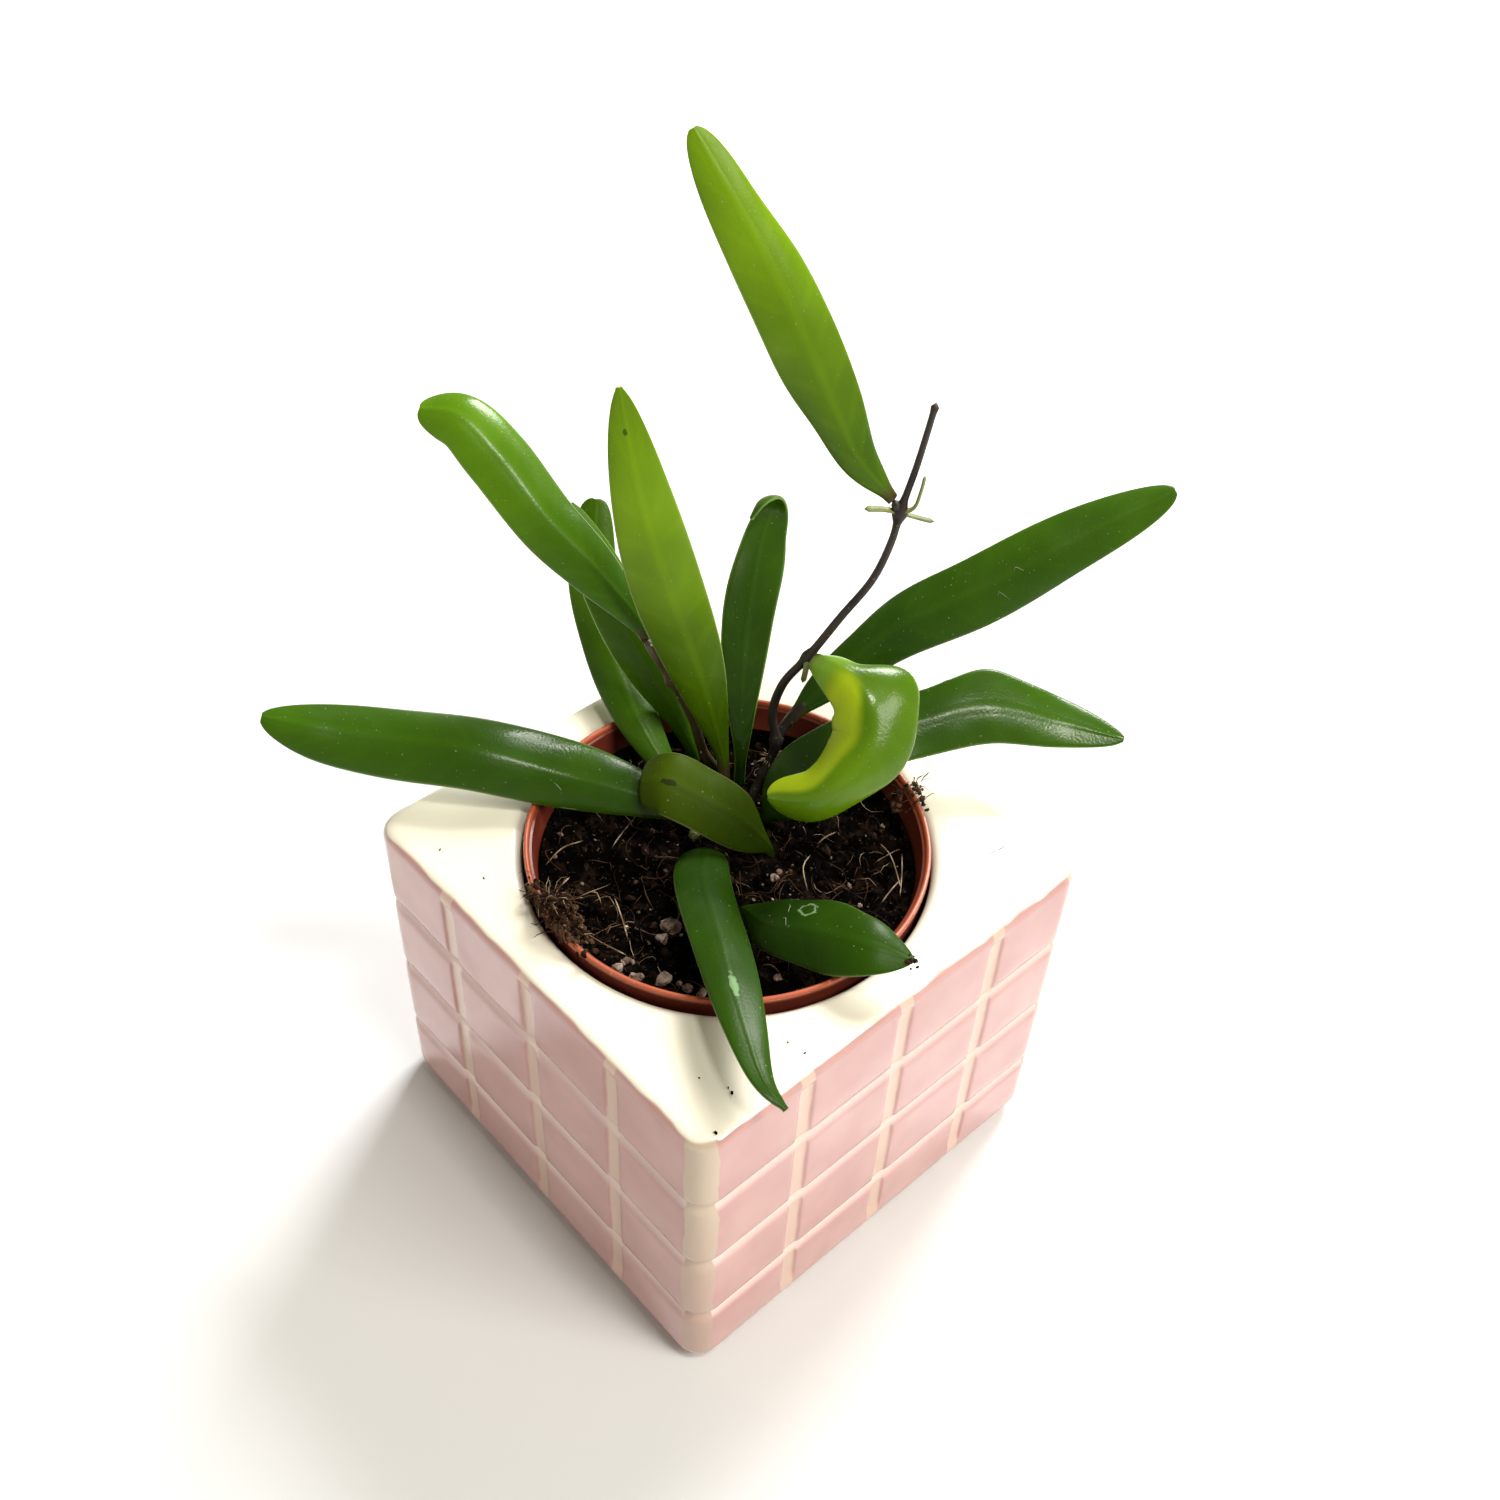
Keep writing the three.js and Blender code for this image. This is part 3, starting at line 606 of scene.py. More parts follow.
def square_ring(inset):
    """A rule that gives the distance from the middle to a rounded square, in a direction."""
    half = PLANTER_HALF - inset
    radius = max(CORNER_RADIUS - inset / 2, 1.0)
    core = Vector((half - radius, half - radius))

    def reach(way):
        turned_way = Vector((abs(way.x), abs(way.y)))
        flat = half / max(turned_way)
        if flat * min(turned_way) <= half - radius:
            return flat
        lean = turned_way.dot(core)
        return lean + math.sqrt(max(0.0, radius**2 - core.length_squared + lean**2))

    return reach


def round_ring(radius):
    return lambda way: radius


def draw_on(bm, edges, reach, height):
    """Extrudes a ring of edges and puts the new ring at a height and a reach in millimetres."""
    verts, new_edges = extrude_ring(bm, edges)
    for vert in verts:
        way = vert.co.xy.normalized()
        vert.co = (way * reach(way)).to_3d() * MM
        vert.co.z = height * MM
    return new_edges


def quarter(steps):
    """Angles of a quarter round, without its first."""
    return [math.pi / 2 * step / steps for step in range(1, steps + 1)]


def planter_piece():
    bm = planter_walls()
    border = [e for e in bm.edges if e.is_boundary]
    foot = [e for e in border if e.verts[0].co.z < 10 * MM]
    rim = [e for e in border if e.verts[0].co.z > 60 * MM]
    for angle in quarter(5):
        inset = BASE_ROUNDING * (1 - math.cos(angle))
        foot = draw_on(bm, foot, square_ring(inset), BASE_ROUNDING * (1 - math.sin(angle)))
    for inset in (5.2, 12.0, 28.0):
        foot = draw_on(bm, foot, square_ring(inset), 0.0)
    bmesh.ops.contextual_create(bm, geom=foot)
    for angle in quarter(4):
        height = PLANTER_HEIGHT - TOP_ROUNDING * (1 - math.sin(angle))
        rim = draw_on(bm, rim, square_ring(TOP_ROUNDING * (1 - math.cos(angle))), height)
    rim = draw_on(bm, rim, square_ring(TOP_ROUNDING + 0.5), PLANTER_HEIGHT)
    rim = draw_on(bm, rim, round_ring(HOLE_RADIUS + HOLE_FILLET + 0.3), PLANTER_HEIGHT)
    for angle in quarter(6):
        radius = HOLE_RADIUS + HOLE_FILLET * (1 - math.sin(angle))
        rim = draw_on(bm, rim, round_ring(radius), PLANTER_HEIGHT - HOLE_FILLET * (1 - math.cos(angle)))
    plate_foot = PLANTER_HEIGHT - TOP_PLATE
    for radius, height in ((HOLE_RADIUS, plate_foot + 0.3), (HOLE_RADIUS + 0.3, plate_foot)):
        rim = draw_on(bm, rim, round_ring(radius), height)
    for height in (plate_foot - 0.4, plate_foot - 2, WELL_FLOOR + 1.5, WELL_FLOOR + 0.4):
        rim = draw_on(bm, rim, square_ring(WALL), height)
    for inset in (WALL + 0.5, WALL + 2, 28.0):
        rim = draw_on(bm, rim, square_ring(inset), WELL_FLOOR)
    bmesh.ops.contextual_create(bm, geom=rim)
    bmesh.ops.recalc_face_normals(bm, faces=bm.faces)
    piece = as_piece("tiled_planter", bm, [glaze], ["planter"])
    subdivide(piece, 1)
    return piece


planter = planter_piece()
print(planter.name, len(planter.data.polygons), "faces before subdivision")

# %% [markdown]
# ## Finish and piece: the nursery pot
# Growers use thin pots of reddish brown plastic. The lip is rolled, a little ledge runs inside it,
# and the floor has drain holes. Anything round is drawn once as an outline and spun about its
# axis. The floor is filled between the wall's ring and the rings of the holes. The top of the lip
# is painted brighter, a painted highlight where it catches the light, and handling has left a few
# pale scuffs there.

# %% Nursery pot
POT_TOP = 73.0
POT_FLOOR = 6.3
POT_FLOOR_TOP = 8.1
POT_FLOOR_RADIUS = 22.8
DRAIN_RING = 14.0
DRAIN_RADIUS = 2.2
SPIN_STEPS = 120
PLASTIC_DARK = (0.105, 0.016, 0.010)
PLASTIC_LIGHT = (0.18, 0.032, 0.018)
PLASTIC_LIP_HIGHLIGHT = (0.44, 0.092, 0.034)
PLASTIC_SCUFF = (0.66, 0.28, 0.16)
# Radius and height, up the outside, over the lip and down the inside
POT_OUTLINE = [
    (POT_FLOOR_RADIUS, POT_FLOOR), (23.6, 6.5), (24.0, 7.5), (26.1, 21.5), (28.3, 36.5), (30.5, 51.5),
    (32.3, 65.3), (32.8, 65.9), (33.8, 66.2), (34.2, 66.7), (34.4, 69.4), (34.5, 71.4), (34.78, 71.8),
    (34.8, 72.5), (34.68, 72.9), (34.4, POT_TOP), (34.1, 72.9), (33.9, 72.5), (33.8, 72.1),
    (33.4, 71.95), (33.3, 71.6), (33.1, 67.6), (31.3, 65.7), (31.1, 65.2),
    (29.3, 51.5), (27.1, 36.5), (24.9, 21.5), (22.9, 8.6), (POT_FLOOR_RADIUS, POT_FLOOR_TOP),
]


def plastic_finish():
    finish, tree, shader = start_finish("brown_plastic", Roughness=0.34, IOR=1.46)
    place = object_place(tree)
    height = axes_of(place)[2] * 1000.0
    streak = cloud(place, 40.0, 2.0, (1.0, 1.0, 7.0))
    body = blend(streak, PLASTIC_DARK, PLASTIC_LIGHT)
    # painted highlight: the top of the rolled lip is brighter where it catches the light; the scuffs below
    # are wear
    lip = soft_step(streak.scaled(0.8, height), POT_TOP - 0.7, POT_TOP + 0.1)
    colour = blend(lip * 0.85, body, PLASTIC_LIP_HIGHLIGHT)
    scuff = lip * soft_step(cloud(place, 700.0, 2.0), 0.62, 0.72)
    feed(shader.inputs["Base Color"], blend(scuff * 0.35, colour, PLASTIC_SCUFF))
    relief(shader, cloud(place, 160.0, 1.0), 0.0002, 0.5)
    return finish


def nursery_pot_piece():
    bm = bmesh.new()
    outline = [bm.verts.new(Vector((radius, 0, height)) * MM) for radius, height in POT_OUTLINE]
    edges = [bm.edges.new(pair) for pair in zip(outline, outline[1:])]
    bmesh.ops.spin(
        bm, geom=outline + edges, cent=(0, 0, 0), axis=(0, 0, 1), angle=2 * math.pi,
        steps=SPIN_STEPS, use_merge=True,
    )
    for hole in range(6):
        middle = Matrix.Rotation(hole * math.pi / 3, 3, "Z") @ Vector((DRAIN_RING, 0, 0)) * MM
        loops = []
        for height in (POT_FLOOR, POT_FLOOR_TOP):
            at = Matrix.Translation(middle + Vector((0, 0, height * MM)))
            ring = bmesh.ops.create_circle(bm, segments=24, radius=DRAIN_RADIUS * MM, matrix=at)["verts"]
            loops += ring_edges(ring)
        bmesh.ops.bridge_loops(bm, edges=loops)
    for height in (POT_FLOOR, POT_FLOOR_TOP):
        level = [e for e in bm.edges if e.is_boundary and abs(e.verts[0].co.z / MM - height) < 0.01]
        bmesh.ops.triangle_fill(bm, edges=level, use_beauty=True, normal=(0, 0, 1))
    bmesh.ops.remove_doubles(bm, verts=bm.verts, dist=0.00001)
    bmesh.ops.recalc_face_normals(bm, faces=bm.faces)
    creased = [e for e in bm.edges if len(e.link_faces) == 2 and e.calc_face_angle() > 0.9]
    for edge in creased:
        edge.smooth = False
    return as_piece("nursery_pot_wall", bm, [plastic_finish()], ["nursery_pot"])


nursery_pot = nursery_pot_piece()
print(nursery_pot.name, len(nursery_pot.data.polygons), "faces")

# %% [markdown]
# ## Finishes for the potting mix
# Potting mix is bark, peat and coir, nearly black where it is damp. Through it lie white grains of
# perlite and pale fibres. Each gets its own finish, with a noise in real millimetres for grain.
# The mix is rough, so its shading comes from relief more than from colour.

# %% Finishes for the potting mix


def grainy_finish(name, dark, light, scale, roughness, depth, speck=None, damp_patches=False):
    """A rough finish that mixes two colours by a noise, with specks of a third if given."""
    finish, tree, shader = start_finish(name, Roughness=roughness, Specular_IOR_Level=0.03)
    place = object_place(tree)
    grain = soft_step(cloud(place, scale, 2.0), 0.38, 0.7)
    if damp_patches:
        grain = grain * soft_step(cloud(place, 210.0, 1.0), 0.44, 0.6)
    colour = blend(grain, dark, light)
    if speck:
        dots = soft_step(cloud(place, scale * 4, 1.0), 0.66, 0.72)
        colour = blend(dots, colour, speck)
    feed(shader.inputs["Base Color"], colour)
    relief(shader, cloud(place, scale * 2, 1.0), depth, 0.8)
    return finish


soil_finish = grainy_finish(
    "damp_mix", (0.0006, 0.0004, 0.0003), (0.010, 0.0055, 0.0035), 420.0, 0.9, 0.0006,
    (0.035, 0.022, 0.014), True,
)
crumb_finish = grainy_finish(
    "bark_crumb", (0.0012, 0.0007, 0.0005), (0.040, 0.022, 0.014), 260.0, 0.85, 0.0004,
    (0.12, 0.08, 0.055), True,
)
dry_finish = grainy_finish(
    "dry_crumb", (0.012, 0.006, 0.0035), (0.085, 0.048, 0.028), 260.0, 0.85, 0.0004, (0.18, 0.12, 0.08)
)
perlite_finish = grainy_finish(
    "perlite", (0.15, 0.10, 0.08), (0.46, 0.37, 0.32), 620.0, 0.9, 0.0005, (0.02, 0.012, 0.009)
)
pale_fibre_finish = grainy_finish("pale_root", (0.15, 0.09, 0.05), (0.44, 0.34, 0.24), 300.0, 0.6, 0.0001)
lint_finish = grainy_finish("lint", (0.22, 0.24, 0.18), (0.46, 0.47, 0.40), 300.0, 0.7, 0.0001)
dark_fibre_finish = grainy_finish("coir", (0.016, 0.008, 0.005), (0.085, 0.045, 0.024), 240.0, 0.8, 0.0001)
print("finishes for the mix ready")

# %% [markdown]
# ## Piece: the potting mix
# The surface of the mix is a field of lumps. A square grid is eased into a disc, so that its edge
# follows the pot, and every point gets a height from broad mounds and three sizes of noise. The
# disc's border is drawn down inside the pot and closed, because the mix is a plug and not a skin.
# The mound formula is the one the measured model uses.

# %% The plug of mix
SOIL_TOP = 65.6
SOIL_RADIUS = 32.5
SOIL_GRID = 130
SOIL_EDGE = 67.3
# The plug's side, from the top down: radius and height
PLUG_SIDE = ((31.9, 66.6), (30.6, 65.0), (22.4, 8.5))


def mound(right, away):
    """Broad mounds in the surface, in millimetres."""
    broad = 0.45 * math.sin(0.19 * right + 0.8) * math.cos(0.23 * away - 0.5)
    slanting = 0.35 * math.sin(0.61 * right - 0.33 * away)
    return broad + slanting + 0.25 * math.sin(0.47 * away + 0.71 * right + 2)


def soil_height(right, away):
    """Height of the mix at a place, crumbs of three sizes included."""
    rough = 0.0
    for wavelength, height in ((6.0, 1.1), (2.6, 0.9), (1.1, 0.6)):
        rough += height * noise.noise(Vector((right / wavelength, away / wavelength, wavelength)))
    heaped = 1.6 * smooth_fall(-math.hypot(right, away), -32.5, -24.0) * smooth_fall(away, -10.0, 14.0)
    return SOIL_TOP + mound(right, away) + rough + heaped


def soil_piece():
    bm = bmesh.new()
    bmesh.ops.create_grid(bm, x_segments=SOIL_GRID, y_segments=SOIL_GRID, size=1.0)
    for vert in bm.verts:
        a, b = vert.co.xy
        right = a * math.sqrt(1 - b * b / 2) * SOIL_RADIUS
        away = b * math.sqrt(1 - a * a / 2) * SOIL_RADIUS
        share = math.hypot(right, away) / SOIL_RADIUS
        level = soil_height(right, away)
        vert.co = spot(right, away, level + (SOIL_EDGE - level) * smooth_fall(-share, -1.0, -0.97))
    rim = [e for e in bm.edges if e.is_boundary]
    for radius, height in PLUG_SIDE:
        rim = draw_on(bm, rim, round_ring(radius), height)
    bmesh.ops.contextual_create(bm, geom=rim)
    bmesh.ops.recalc_face_normals(bm, faces=bm.faces)
    return as_piece("potting_mix", bm, [soil_finish], ["soil"])


soil = soil_piece()
print(soil.name, len(soil.data.polygons), "faces")

# %% [markdown]
# Loose crumbs make the surface read as earth. They are icospheres with only 20 faces each,
# flattened and turned at random with a fixed seed. Two heaps have spilled over the pot's rim,
# one at the left front and a small one at the right. Perlite is a rounder lump with 80 faces.

# %% Crumbs and perlite
CRUMB_COUNT = 1100
CRUMB_FIELD = 31.4
LEFT_SPILL = 340
RIGHT_SPILL = 80
SMALL_PERLITE = 70


def drop_lump(bm, draw, place, size, flatness=0.75, rounds=1, dent=0.25):
    """One lump, turned and stretched at random: 20 faces in one round, 80 in two."""
    turn = Euler([draw.uniform(0, math.tau) for _ in range(3)]).to_matrix().to_4x4()
    stretch = Vector((draw.uniform(0.7, 1.3), draw.uniform(0.7, 1.2), draw.uniform(0.6, 1.0) * flatness))
    shape = Matrix.Translation(place) @ turn @ Matrix.Diagonal(stretch).to_4x4()
    verts = bmesh.ops.create_icosphere(bm, subdivisions=rounds, radius=size * MM, matrix=shape)["verts"]
    for vert in verts:
        vert.co += (vert.co - place) * draw.uniform(-dent, dent)


def random_spot(draw, field=CRUMB_FIELD):
    radius = field * math.sqrt(draw.random())
    angle = draw.uniform(0, math.tau)
    return radius * math.cos(angle), radius * math.sin(angle)


# Middle and reach of each heap, in degrees round the pot
LEFT_HEAP = (216, 6.0)
RIGHT_HEAP = (21.5, 2.6)
HEAP_INSIDE = 29.8
HEAP_DEPTH = 6.0
LIP_INSIDE = 32.9
ABOVE_LIP = 73.4
ABOVE_MIX = 67.5


def rim_spot(draw, heap, low, high):
    """A place in a heap that leans over the pot's rim: radius, angle and height go together."""
    middle_degrees, reach_degrees = heap
    angle = math.radians(draw.gauss(middle_degrees, reach_degrees))
    outward = draw.uniform(0.0, 1.0)
    radius = HEAP_INSIDE + HEAP_DEPTH * outward
    bulge = math.exp(-(((math.degrees(angle) - middle_degrees) / (2 * reach_degrees)) ** 2))
    height = low + (high - low) * (0.35 + 0.65 * math.sin(math.pi * (0.15 + 0.6 * outward))) * bulge
    height = max(height, ABOVE_LIP if radius > LIP_INSIDE else ABOVE_MIX)
    height -= draw.uniform(0, 1.4) if radius < LIP_INSIDE else 0.0
    return radius * math.cos(angle), radius * math.sin(angle), height


def crumbs_piece():
    draw = random.Random(5)
    bm = bmesh.new()
    for _ in range(CRUMB_COUNT):
        right, away = random_spot(draw)
        size = 0.3 + 1.0 * draw.random() ** 3
        drop_lump(bm, draw, spot(right, away, soil_height(right, away) + 0.25 * size), size)
    return as_piece("bark_crumbs", bm, [crumb_finish], smooth=False)


def spilled_crumbs_piece():
    draw = random.Random(6)
    bm = bmesh.new()
    heaps = ((LEFT_SPILL, LEFT_HEAP, 68.0, 76.0, 0.6), (RIGHT_SPILL, RIGHT_HEAP, 68.5, 75.6, 0.5))
    for count, heap, low, high, spread in heaps:
        for _ in range(count):
            place = spot(*rim_spot(draw, heap, low, high))
            drop_lump(bm, draw, place, 0.22 + spread * draw.random() ** 2)
    return as_piece("spilled_crumbs", bm, [dry_finish], smooth=False)


# Perlite seen in the front half: right, away and size
PERLITE = [
    (-8.6, -15.7, 2.1), (-9.6, -17.4, 1.3), (-16.4, -25.0, 1.1), (-12.9, -27.3, 1.4), (-9.2, -27.0, 1.5),
    (-4.3, -28.0, 1.2), (-11.3, -29.0, 0.9), (-15.4, -22.8, 0.9), (-6.4, -26.0, 0.8), (-2.5, -29.2, 1.0),
    (8.4, -2.4, 0.9), (11.0, -0.6, 0.7), (21.4, -2.5, 0.8), (23.2, -6.8, 0.7), (10.0, -24.8, 0.9),
]


def perlite_piece():
    draw = random.Random(12)
    bm = bmesh.new()
    places = list(PERLITE)
    for _ in range(SMALL_PERLITE):
        right, away = random_spot(draw, 30.5)
        places.append((right, away, 0.25 + 0.5 * draw.random() ** 2))
    for right, away, size in places:
        for _ in range(3 if size > 0.8 else 1):
            shift_right, shift_away = draw.uniform(-0.4, 0.4) * size, draw.uniform(-0.4, 0.4) * size
            level = soil_height(right, away) + 0.35 * size
            lump = spot(right + shift_right, away + shift_away, level)
            drop_lump(bm, draw, lump, 0.75 * size, 0.9, rounds=2, dent=0.16)
    return as_piece("perlite_grains", bm, [perlite_finish], smooth=False)


lumps = [crumbs_piece(), spilled_crumbs_piece(), perlite_piece()]
print("faces of the lumps:", {piece.name: len(piece.data.polygons) for piece in lumps})

# %% [markdown]
# Fibres lie over the mix in loose curls. A fibre is a thin stem with four sides that starts on
# the surface, wanders in the level and arches a little. The few that stand out in the picture are
# listed one by one. The rest are drawn from a seed, most of them dark coir and some pale roots.

# %% Fibres
FIBRE_FIELD = 31.8
# Fibres that stand out: radius, then stops as right, away and height above the mix
MARKED_FIBRES = [
    (0.15, [
        (-26.2, -7.9, 3.6), (-27.6, -13.4, 4.4), (-27.0, -17.6, 5.2), (-25.0, -19.8, 4.6),
        (-22.0, -23.0, 1.0),
    ]),
    (0.15, [(-18.5, -10.3, 1.2), (-16.9, -14.2, 1.5), (-15.3, -18.5, 0.6)]),
    (0.12, [(-17.8, 7.2, 1.0), (-18.9, 4.2, 1.6), (-20.4, 1.5, 0.7)]),
    (0.14, [(-31.0, -5.4, 1.0), (-28.5, -1.4, 1.8), (-25.2, 2.6, 1.0)]),
    (0.13, [(26.5, 6.3, 1.2), (28.3, 1.8, 2.2), (30.0, -5.5, 1.2)]),
    (0.13, [(30.4, 4.4, 1.0), (30.2, -1.4, 1.8), (29.8, -7.1, 1.0)]),
    (0.12, [(14.5, 1.8, 0.8), (13.2, -1.3, 1.6), (14.2, -5.5, 0.7)]),
    (0.14, [(19.0, 8.5, 0.8), (16.9, 6.6, 1.6), (15.5, 4.2, 0.8)]),
    (0.14, [(6.9, -21.7, 0.6), (8.7, -22.4, 1.2), (10.2, -23.7, 0.6)]),
    (0.14, [(30.2, -2.1, 0.8), (28.4, -5.2, 1.4), (26.5, -8.0, 0.7)]),
    (0.14, [(-22.6, -18.0, 1.0), (-19.4, -20.8, 2.0), (-15.0, -21.6, 1.0)]),
    (0.12, [(-24.6, -11.0, 1.2), (-21.8, -10.0, 2.0), (-20.4, -12.2, 1.0)]),
]


# Fibres in the spilled heaps: divisor of the count, heap, lowest and highest start, lengths, arches
HEAP_FIBRES = (
    (1, LEFT_HEAP, 68.5, 76.4, (1.6, 4.6), (0.2, 1.6)),
    (4, RIGHT_HEAP, 69.0, 76.0, (1.5, 4.0), (0.2, 1.2)),
)


def wandering_fibre(draw, start, length, lift):
    """Stops of a fibre that curls away from its start."""
    right, away, height = start
    heading = draw.uniform(0, math.tau)
    bend = draw.uniform(-0.5, 0.5)
    stops = []
    legs = 5
    for leg in range(legs + 1):
        arch = lift * math.sin(math.pi * leg / legs)
        stops.append((right, away, height + arch))
        heading += bend + draw.uniform(-0.35, 0.35)
        right += length / legs * math.cos(heading)
        away += length / legs * math.sin(heading)
    return stops


def fibres_piece(name, finish, seed, count, thickness, heap_count):
    draw = random.Random(seed)
    bm = bmesh.new()
    for _ in range(count):
        right, away = random_spot(draw, 29.0)
        stops = wandering_fibre(draw, (right, away, 0.25), draw.uniform(2.5, 9.0), draw.uniform(0.1, 1.3))
        laid = []
        for right, away, above in stops:
            inward = min(1.0, FIBRE_FIELD / math.hypot(right, away))
            laid.append((right * inward, away * inward, above))
        lay_fibre(bm, laid, thickness * draw.uniform(0.6, 1.3))
    for share, heap, low, high, lengths, lifts in HEAP_FIBRES:
        for _ in range(heap_count // share):
            start = rim_spot(draw, heap, low, high)
            stops = wandering_fibre(draw, start, draw.uniform(*lengths), draw.uniform(*lifts))
            grow_stem(bm, stops, thickness * draw.uniform(0.6, 1.2), sides=4, step=1.2)
    return as_piece(name, bm, [finish])


def lay_fibre(bm, stops, thickness):
    """A fibre whose heights are counted from the surface of the mix."""
    grounded = [(right, away, soil_height(right, away) + above) for right, away, above in stops]
    grow_stem(bm, grounded, thickness, sides=4, step=1.2)


def marked_fibres_piece():
    bm = bmesh.new()
    for thickness, stops in MARKED_FIBRES:
        lay_fibre(bm, stops, thickness)
    return as_piece("stray_roots", bm, [pale_fibre_finish])


pale_fibres = fibres_piece("pale_fibres", pale_fibre_finish, 21, 60, 0.06, 22)
dark_fibres = fibres_piece("coir_fibres", dark_fibre_finish, 34, 230, 0.09, 80)
stray_roots = marked_fibres_piece()
print("fibre faces:", [len(o.data.polygons) for o in (pale_fibres, dark_fibres, stray_roots)])

# %% [markdown]
# ## Finish: hoya leaves
# Hoya leaves are thick and waxy. The upper side is glossy with a grain of fine pores that breaks
# up each highlight. Young leaves are yellow-green and old ones deep green, each with its tint. A leaf
# carries its own map: one value across it and one along it, negative on the stalk. The midrib,
# the faint side veins, the paler margin, the brown stalk and small blemishes read that map.
# Clouds of tone and dust read the real place, so their size is the same on every leaf.

# %% Tints
# Deep, bright and pale shade of each tint
LEAF_TINTS = {
    "lime": ((0.038, 0.092, 0.001), (0.19, 0.35, 0.004), (0.42, 0.56, 0.10)),
    "mid": ((0.036, 0.105, 0.001), (0.115, 0.26, 0.004), (0.26, 0.42, 0.07)),
    "dark": ((0.011, 0.038, 0.001), (0.048, 0.130, 0.002), (0.17, 0.28, 0.06)),
    "olive": ((0.016, 0.036, 0.001), (0.050, 0.082, 0.003), (0.32, 0.34, 0.15)),
    "fresh": ((0.042, 0.105, 0.001), (0.125, 0.25, 0.002), (0.28, 0.42, 0.05)),
    "shaded": ((0.022, 0.066, 0.001), (0.075, 0.175, 0.003), (0.20, 0.34, 0.06)),
    "deep": ((0.008, 0.028, 0.001), (0.028, 0.080, 0.001), (0.12, 0.20, 0.05)),
}
BROWN_STALK = (0.055, 0.028, 0.014)
LIT_STALK_END = (0.15, 0.29, 0.02)
LIT_YELLOW = (0.27, 0.37, 0.006)
DUST = (0.40, 0.45, 0.30)
SIDE_VEINS = 60.0
# Scales of the noises, from broad clouds of tone to single specks
TONE_CLOUDS = 55.0
HAZE_PATCHES = 90.0
SLOW_WAVES = 130.0
MARK_EDGE = 900.0
PORE_GRAIN = 2300.0
DUST_GRAIN = 2600.0


def leaf_marks(colour, across, along, marks, place):
    """Blemishes on the blade: each is a kind, a place across and along, two sizes and a colour."""
    for kind, at_across, at_along, wide, long, tint in marks:
        off_across = (across - at_across) / wide
        off_along = (along - at_along) / long
        distance = (off_across * off_across + off_along * off_along).calc("SQRT")
        ragged = cloud(place, MARK_EDGE, 3.0).scaled(1.4, distance)
        if kind == "ring":
            share = soft_step(abs(ragged - 1.5), 0.2, 0.08)
        else:
            share = soft_step(ragged, 1.75, 1.45)
        colour = blend(share * 0.75, colour, tint)
    return colour


def leaf_finish(name, tint, gloss, brown_stalk=False, underside=False, marks=(), lit_half=False):
    """The finish of one side of a leaf."""
    deep, bright, pale = LEAF_TINTS[tint]
    finish, tree, shader = start_finish(name, IOR=1.47, Specular_IOR_Level=0.04 + 0.24 * gloss)
    place = object_place(tree)
    across, along, _ = axes_of(add(tree, "UVMap", uv_map="leaf_map"))
    from_rib = abs(across.scaled(2.0, -1.0))

    tone = soft_step(cloud(place, TONE_CLOUDS, 2.0), 0.25, 0.8)
    wander = tone.scaled(0.10, from_rib.scaled(-0.10, along))
    vein = soft_step((wander * SIDE_VEINS).calc("SINE"), 0.3, 1.0) * soft_step(from_rib, 0.02, 0.4)
    rib = soft_step(from_rib, 0.22, 0.0)
    # painted shade: each blade is darker towards its stalk, where it lies in shade, and lighter towards its
    # tip
    lift = soft_step(along, 0.0, 0.95).scaled(0.54, -0.06)
    lift = vein.scaled(0.05, rib.scaled(0.10, tone.scaled(0.34, lift)))
    colour = blend(lift, deep, bright)
    if lit_half:
        inner = tone.scaled(0.14, soft_step(along, 0.18, 0.42).scaled(0.2, across))
        lit = soft_step(inner, 0.64, 0.49) * soft_step(along, 0.10, 0.2)
        colour = blend(soft_step(along, 0.22, 0.08), colour, LIT_STALK_END)
        colour = blend(lit, colour, LIT_YELLOW)
    if underside:
        colour = blend(0.12, colour, pale)
    colour = blend(soft_step(from_rib, 0.94, 1.0) * 0.35, colour, pale)
    stalk_tint = BROWN_STALK if brown_stalk else tuple(0.8 * c for c in deep)
    colour = blend(soft_step(along, 0.03, -0.03) * 0.9, colour, stalk_tint)
    colour = leaf_marks(colour, across, along, marks, place)
    dust = soft_step(cloud(place, DUST_GRAIN, 0.0), 0.82, 0.86)
    feed(shader.inputs["Base Color"], blend(dust * 0.35, colour, DUST))

    haze = cloud(place, HAZE_PATCHES, 1.0)
    roughness = add(tree, "MapRange", haze, 0.3, 0.7, 0.34 - 0.15 * gloss, 0.44 - 0.16 * gloss)
    feed(shader.inputs["Roughness"], roughness)
    pores = cloud(place, PORE_GRAIN, 0.0)
    waves = cloud(place, SLOW_WAVES, 0.0)
    relief(shader, pores.scaled(0.05, rib.scaled(0.2, waves)), 0.0009, 0.4)
    return finish


def margin_finish(tint):
    """The edge of the leaf, paler than its sides."""
    _, bright, pale = LEAF_TINTS[tint]
    finish, tree, shader = start_finish("margin_" + tint, Roughness=0.42, Specular_IOR_Level=0.35)
    grain = cloud(object_place(tree), 300.0, 2.0)
    feed(shader.inputs["Base Color"], blend(grain, bright, pale))
    return finish


under_finishes = {tint: leaf_finish("underside_" + tint, tint, 0.3, underside=True) for tint in LEAF_TINTS}
margin_finishes = {tint: margin_finish(tint) for tint in LEAF_TINTS}
print("undersides:", list(under_finishes))

# %% [markdown]
# ## The form of a leaf
# A leaf grows along a curved midrib: first a round stalk, then a blade that widens, holds its
# width and closes at the tip. Its margins fall below the midrib and wave a little. A grid is bent
# along the midrib: the rows of the grid become stations along the leaf. A Solidify modifier
# gives the blade its flesh, thick at the midrib and thin at the margin by a vertex group, and a
# Subdivision Surface rounds it. Solidify also gives the underside and the margin their own finish.

